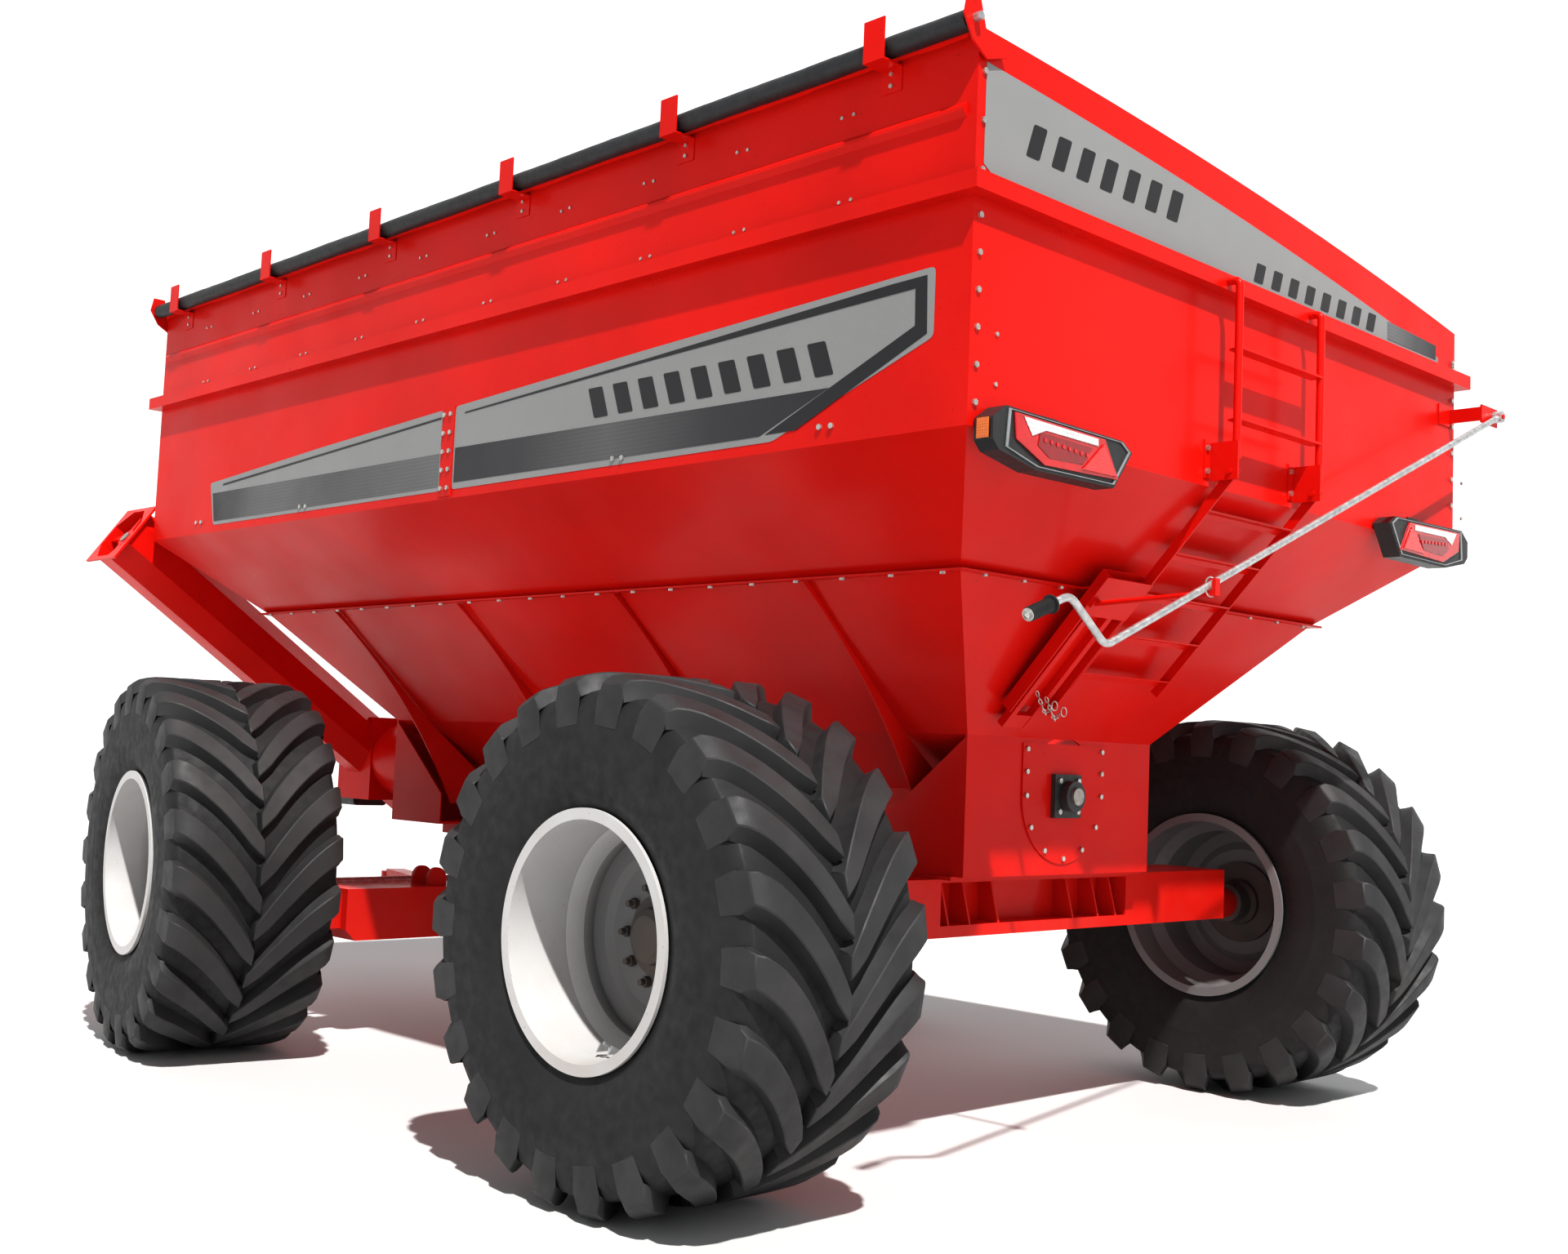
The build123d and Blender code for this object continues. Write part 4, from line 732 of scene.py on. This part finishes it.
def add_rear_films():
    """Grey field under the extension's bowed top edge, with the printed shapes over it."""
    run = (-FILM, 0, 0)
    base, over = rear_point(FILM_GAP), rear_point(FILM_GAP + FILM)
    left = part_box("extension_left")[1].z
    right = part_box("extension_right")[1].z
    top = []
    for step in range(REAR_STEPS + 1):
        y = REAR_LEFT_Y + (REAR_RIGHT_Y - REAR_LEFT_Y) * step / REAR_STEPS
        share = (y + HALF_WID) / (2 * HALF_WID)
        edge = right + (left - right) * share + 4 * EXTENSION_BOW * share * (1 - share)
        lowered = REAR_INSET + REAR_EXTRA * (1 - (y - REAR_RIGHT_Y) / 3.2)
        top.append((y, min(edge - lowered, REAR_TOP_LIMIT)))
    outline = REAR_CORNER + [(REAR_RIGHT_Y, REAR_LOW)] + list(reversed(top))
    add_film("rear_film", outline, base, run, "film_grey")
    add_film("rear_fade", REAR_FADE, over, run, "film_fade_rear")
    for number, bar in enumerate(slanted_bars(**REAR_BARS)):
        add_film(f"rear_bar_{number}", bar, over, run, "film_black", 0.01)
    for number, bar in enumerate(slanted_bars(**CODE_BARS)):
        add_film(f"rear_code_bar_{number}", bar, over, run, "film_black", 0.008)


add_rear_films()


# ---------------------------------------------------------------- rear lamps
LAMP_PIECES = [
    ("lens", [(1.575, 2.603), (1.095, 2.592), (1.015, 2.468), (1.415, 2.458), (1.565, 2.520)],
     0.0, 0.009, "lamp_red", 0.003),
    ("tail_inner", [(1.45, 2.560), (1.17, 2.552), (1.22, 2.490), (1.40, 2.484), (1.46, 2.515)],
     0.009, 0.003, "lamp_deep", 0.0015),
    ("strip", [(1.535, 2.595), (1.14, 2.586), (1.138, 2.562), (1.42, 2.567), (1.490, 2.540)],
     0.0095, 0.003, "lamp_white", 0.0015),
    ("triangle", [(1.110, 2.574), (1.225, 2.474), (1.034, 2.476)], 0.0095, 0.005, "lamp_reflector", 0.002),
]
LAMP_EDGE = [(1.600, 2.611), (0.990, 2.599), (0.945, 2.571), (1.035, 2.450), (1.450, 2.448), (1.612, 2.488)]
LAMP_EDGE_DEPTH, LAMP_EDGE_SCALE = 0.005, 0.965
LED_COUNT, LED_R, LED_DEPTH, LED_LIFT = 8, 0.0075, 0.004, 0.011
LED_START, LED_STEP = (1.425, 2.536), (0.032, 0.002)
MARKER_Y, MARKER_THICK = 1.676, 0.007
MARKER = [(0.012, 2.508), (0.058, 2.508), (0.058, 2.572), (0.012, 2.572)]


def add_lamp_leds(back, side, sign):
    """Row of small round lights across a lens."""
    bm = bmesh.new()
    for step in range(LED_COUNT):
        y, z = LED_START[0] - step * LED_STEP[0], LED_START[1] - step * LED_STEP[1]
        centre = at(back - LED_LIFT, sign * y, z)
        add_prism(bm, ring_points(centre, (0, 1, 0), (0, 0, 1), LED_R, 10), (-LED_DEPTH, 0, 0))
    finish_mesh(f"lamp_leds_{side}", bm, "lamp_red", "chassis")


def add_lamp_rim(back, side, sign):
    """Raised grey rim round a lamp."""
    bm = bmesh.new()
    run = Vector((-LAMP_EDGE_DEPTH, 0, 0))
    outer = [at(back, sign * y, z) for y, z in LAMP_EDGE]
    centre = sum(outer, Vector()) / len(outer)
    inner = [centre + (point - centre) * LAMP_EDGE_SCALE for point in outer]
    loops = [outer, inner, [point + run for point in inner], [point + run for point in outer]]
    rows = [[bm.verts.new(point) for point in loop] for loop in loops]
    count = len(LAMP_EDGE)
    for here, there in zip(rows, rows[1:] + rows[:1]):
        for k in range(count):
            after = (k + 1) % count
            bm.faces.new((here[k], here[after], there[after], there[k]))
    finish_mesh(f"lamp_rim_{side}", bm, "lamp_edge", "chassis", bevel=0.001)


def add_lamps():
    """Lenses, lights, rims and side markers of both rear lamps."""
    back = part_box("lamp_lenses")[1].x - MID_X
    for side, sign in (("left", 1), ("right", -1)):
        for name, points, lift, depth, material, bevel in LAMP_PIECES:
            bm = bmesh.new()
            add_prism(bm, [at(back - lift, sign * y, z) for y, z in points], (-depth, 0, 0))
            finish_mesh(f"lamp_{name}_{side}", bm, material, "chassis", bevel=bevel)
        add_lamp_leds(back, side, sign)
        add_lamp_rim(back, side, sign)
        bm = bmesh.new()
        add_prism(bm, [at(back + x, sign * MARKER_Y, z) for x, z in MARKER], (0, sign * MARKER_THICK, 0))
        finish_mesh(f"lamp_marker_{side}", bm, "lamp_amber", "chassis", bevel=0.002)
    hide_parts("lamp_lenses")


add_lamps()


# ---------------------------------------------------------------- tarp roll, crank grip, chains
ROLL_R, ROLL_LAP, ROLL_RIPPLE, ROLL_WAVE = 0.034, 0.0022, 0.0006, 0.0007
ROLL_STEPS, ROLL_SIDES = 150, 28
ROLL_TUBE_R, ROLL_TUBE_OUT = 0.014, 0.046


def add_tarp_roll():
    """Cloth wound on its tube: an uneven closed roll with a small step where the cloth's edge laps."""
    low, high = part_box("tarp_roll")
    centre = (low + high) / 2
    length = (high.x - low.x) / 2 - ROLL_TUBE_OUT
    bm = bmesh.new()
    random.seed(4)
    rings = []
    ripple = [random.uniform(-1, 1) for _ in range(ROLL_STEPS + 1)]
    for step in range(ROLL_STEPS + 1):
        x = centre.x - length + 2 * length * step / ROLL_STEPS
        ring = []
        for k in range(ROLL_SIDES):
            angle = 2 * math.pi * k / ROLL_SIDES
            sag = ROLL_RIPPLE * ripple[step] + ROLL_WAVE * math.sin(x * 9 + angle * 3)
            radius = ROLL_R + ROLL_LAP * k / ROLL_SIDES + sag
            ring.append(bm.verts.new((x, centre.y + radius * math.cos(angle), centre.z + radius * math.sin(angle))))
        rings.append(ring)
    add_skin(bm, rings)
    roll = finish_mesh("tarp_roll_cloth", bm, "tarp_cloth", "tarp_roll", smooth=True, auto=40)
    bm = bmesh.new()
    spine = [(x, centre.y, centre.z) for x in (low.x, centre.x, high.x)]
    add_tube(bm, spine, ROLL_TUBE_R, 16)
    finish_mesh("tarp_roll_tube", bm, "galvanised", "tarp_roll")
    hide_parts("tarp_roll")


add_tarp_roll()


GRIP_BORE_R, GRIP_ROOT_R, GRIP_RIB_R = 0.0135, 0.0195, 0.0238
GRIP_RIBS, GRIP_PITCH, GRIP_START = 13, 0.0083, -0.118
GRIP_FLANGE = [(-0.130, GRIP_BORE_R), (-0.130, 0.030), (-0.124, 0.031), (-0.122, 0.020)]
GRIP_END = [(-0.008, GRIP_ROOT_R), (-0.008, GRIP_BORE_R)]
GRIP_WASHER = [(-0.0075, 0.0005), (-0.0075, 0.021), (-0.005, 0.021), (-0.005, 0.0005)]
GRIP_NUT = [(-0.005, 0.0005), (-0.005, 0.0125), (0.003, 0.0125), (0.007, 0.008), (0.0085, 0.0005)]


def add_crank_grip():
    """Ribbed rubber grip held by a washer and a domed nut at the crank's end."""
    joint = JOINTS["grip_turn"]
    end, along = Vector(joint["pos_m"]), Vector(joint["axis"]).normalized()
    up = Vector((1, 0, 0))
    place = Matrix.Translation(end) @ Matrix((up, along, up.cross(along))).transposed().to_4x4()
    bm = bmesh.new()
    profile = list(GRIP_FLANGE)
    for number in range(GRIP_RIBS):
        start = GRIP_START + number * GRIP_PITCH
        profile += [(start, GRIP_ROOT_R), (start + 0.0015, GRIP_RIB_R), (start + 0.0052, GRIP_RIB_R),
                    (start + 0.0067, GRIP_ROOT_R)]
    add_lathe(bm, profile + GRIP_END, place, 28)
    grip = finish_mesh("ribbed_grip", bm, "grip_rubber", "crank_grip", smooth=True, auto=35)
    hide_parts("crank_grip")
    bm = bmesh.new()
    add_lathe(bm, GRIP_WASHER, place, 24)
    add_lathe(bm, GRIP_NUT, place, 6)
    finish_mesh("grip_end_nut", bm, "zinc", "tarp_crank")


add_crank_grip()


def link_chain(bm, route, size=0.011, wire=0.0022):
    """Chain of oval links along a given route, each link turned a quarter from the last."""
    points = [Vector(point) for point in route]
    spots = []
    for first, second in zip(points, points[1:]):
        run = second - first
        count = max(1, round(run.length / (size * 1.45)))
        for step in range(count):
            spots.append((first + run * ((step + 0.5) / count), run.normalized()))
    for number, (spot, along) in enumerate(spots):
        across = along.orthogonal().normalized()
        if number % 2:
            across = along.cross(across)
        ring = [spot + along * (size * math.cos(a)) + across * (size * 0.55 * math.sin(a))
                for a in (2 * math.pi * k / 10 for k in range(10))]
        add_tube(bm, ring, wire, 6, loop=True)


def add_pins():
    """Linch pins with their chains on the gate rods, the ring on the crank and the ring bolt by the roll."""
    low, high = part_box("gate_rods")
    foot_x, foot_z = high.x - MID_X - 0.03, low.z
    bm = bmesh.new()
    for y, drop in ((0.46, 0.0), (0.40, -0.02)):
        top = at(foot_x - 0.10, y, foot_z + 0.14 + drop)
        link_chain(bm, [top, top + Vector((-0.015, -0.02, -0.06)), top + Vector((0.0, -0.06, -0.085)),
                        top + Vector((0.0, -0.10, -0.05))])
        ring = ring_points(top + Vector((-0.012, -0.10, -0.05)), (0, 1, 0), (0, 0, 1), 0.018)
        add_tube(bm, ring, 0.0025, 8, loop=True)
    finish_mesh("linch_pin_chains", bm, "zinc", "gate_rods")
    bm = bmesh.new()
    low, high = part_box("tarp_crank")
    centre = at((low.x + high.x) / 2 - MID_X, 0.577, 2.152)
    add_tube(bm, ring_points(centre, (0, 1, 0), (0, 0, 1), 0.034, 22), 0.003, 8, loop=True)
    finish_mesh("crank_ring", bm, "zinc", "tarp_crank")
    foot = Vector((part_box("tarp_brackets")[0].x + 0.006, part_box("tarp_roll")[1].y - 0.035,
                   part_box("extension_left")[1].z + 0.03))
    bm = bmesh.new()
    add_tube(bm, [foot, foot + Vector((0, 0, 0.028))], 0.004, 8)
    ring = ring_points(foot + Vector((0, 0, 0.040)), (1, 0, 0), (0, 0, 1), 0.013, 18)
    add_tube(bm, ring, 0.0032, 8, loop=True)
    finish_mesh("ring_bolt", bm, "zinc", "chassis")


add_pins()


# ---------------------------------------------------------------- screws and bolt heads
def add_hex(bm, centre, out, radius, height):
    """Hexagon head standing out from a face."""
    out = Vector(out).normalized()
    across = out.orthogonal().normalized()
    up = out.cross(across)
    add_prism(bm, ring_points(centre, across, up, radius, 6), out * height)


RIB_Z, RIB_START, RIB_PITCH, RIB_COUNT, RIB_PAIR = 3.56, -2.35, 0.52, 10, 0.055
HOOK_X, HOOK_PITCH, HOOK_COUNT, HOOK_LEVELS = -2.516, 1.025, 6, (3.715, 3.755)
LADDER_BOLTS = [(y + dy, z) for y in (0.3, -0.3) for dy in (-0.065, 0.045) for z in (2.605, 2.69)]
CORNER_BOLTS = [(y, z) for y in (1.57, -1.78) for z in (2.70, 2.86)]


def add_small_bolts():
    """Heads above and below the extension's rib, on the hooks, by the ladder and by the rear corners."""
    bm = bmesh.new()
    rng = random.Random(9)
    left, rear = (0, 1, 0), (-1, 0, 0)
    for step in range(RIB_COUNT):
        for pair in (0, RIB_PAIR):
            x = RIB_START + step * RIB_PITCH + pair
            add_hex(bm, at(x, HALF_WID, RIB_Z + 0.10 + 0.004 * rng.random()), left, 0.007, 0.005)
            add_hex(bm, at(x, HALF_WID, RIB_Z - 0.19), left, 0.007, 0.005)
    for step in range(HOOK_COUNT):
        for z in HOOK_LEVELS:
            add_hex(bm, at(HOOK_X + step * HOOK_PITCH, HALF_WID + 0.0035, z), left, 0.008, 0.006)
    for y, z in LADDER_BOLTS:
        add_hex(bm, at(REAR_X - 0.006, y, z), rear, 0.011, 0.009)
    for y, z in CORNER_BOLTS:
        add_hex(bm, at(REAR_X, y, z), rear, 0.008, 0.006)
    finish_mesh("small_screws", bm, "zinc", "chassis")


add_small_bolts()


# ---------------------------------------------------------------- floor, light and air
FLOOR_HALF, FLOOR_Z = 60, -0.0005


def add_stage():
    """Wide pale floor just under the tyres."""
    bm = bmesh.new()
    bm.faces.new([bm.verts.new((x * FLOOR_HALF, y * FLOOR_HALF, FLOOR_Z))
                  for x, y in ((-1, -1), (1, -1), (1, 1), (-1, 1))])
    data = bpy.data.meshes.new("floor")
    bm.to_mesh(data)
    bm.free()
    floor = bpy.data.objects.new("floor", data)
    material, tree, shader = new_material("floor_paint")
    tone = ramp(tree, noise(tree, 0.4, 4), [(NOISE_LOW, (0.60,) * 3), (NOISE_HIGH, (0.62,) * 3)])
    link(tree, tone, shader.inputs["Base Color"])
    shader.inputs["Roughness"].default_value = 0.9
    data.materials.append(material)
    SCENE.collection.objects.link(floor)


def add_area(name, place, target, size, power):
    """Large white disk light aimed at a point."""
    data = bpy.data.lights.new(name, "AREA")
    data.shape = "DISK"
    data.size = size
    data.energy = power
    light = bpy.data.objects.new(name, data)
    light.location = place
    light.rotation_mode = "QUATERNION"
    light.rotation_quaternion = (Vector(target) - Vector(place)).to_track_quat("-Z", "Y")
    SCENE.collection.objects.link(light)


FAR_WALL = (0.71, -0.70, 0.07)
AIR_LOW, AIR_HIGH, AIR_BRIGHT = (0.62, 0.63, 0.64), (0.10, 0.105, 0.11), (1.05, 1.05, 1.05)


def add_world():
    """Studio air: pale at eye level, dim overhead, and white towards the far right-hand wall."""
    world = bpy.data.worlds.new("air")
    world.use_nodes = True
    tree = world.node_tree
    ground = tree.nodes["Background"]
    coords = tree.nodes.new("ShaderNodeTexCoord")
    facing = tree.nodes.new("ShaderNodeVectorMath")
    facing.operation = "DOT_PRODUCT"
    facing.inputs[1].default_value = FAR_WALL
    link(tree, coords.outputs["Generated"], facing.inputs[0])
    height = tree.nodes.new("ShaderNodeSeparateXYZ")
    link(tree, coords.outputs["Generated"], height.inputs[0])
    air = mix(tree, spread(tree, height.outputs["Z"], 0.0, 1.0, 0.18, 0.55), AIR_LOW, AIR_HIGH)
    air = mix(tree, spread(tree, facing.outputs["Value"], 0.0, 1.0, 0.0, 0.6), air, AIR_BRIGHT)
    link(tree, air, ground.inputs[0])
    SCENE.world = world


SUN_FROM = (-0.50, 0.27, 0.82)
SUN_POWER, SUN_COLOUR, SUN_WIDTH = 4.7, (1.0, 0.985, 0.96), math.radians(1.2)


def add_lights():
    """Sun from high at the rear left, three soft fills and the air."""
    middle = at(0, 0, 2)
    sun = bpy.data.lights.new("sun", "SUN")
    sun.energy = SUN_POWER
    sun.angle = SUN_WIDTH
    sun.color = SUN_COLOUR
    lamp = bpy.data.objects.new("sun", sun)
    lamp.rotation_mode = "QUATERNION"
    lamp.rotation_quaternion = (-Vector(SUN_FROM)).to_track_quat("-Z", "Y")
    SCENE.collection.objects.link(lamp)
    add_area("key", at(-12, 5, 8), middle, 7, 120)
    add_area("side_fill", at(-1, 14, 5), middle, 9, 60)
    add_area("front_fill", at(12, -6, 6), middle, 9, 60)
    add_world()


add_stage()
add_lights()
SCENE.view_settings.view_transform = "Standard"
SCENE.view_settings.look = "Medium High Contrast"
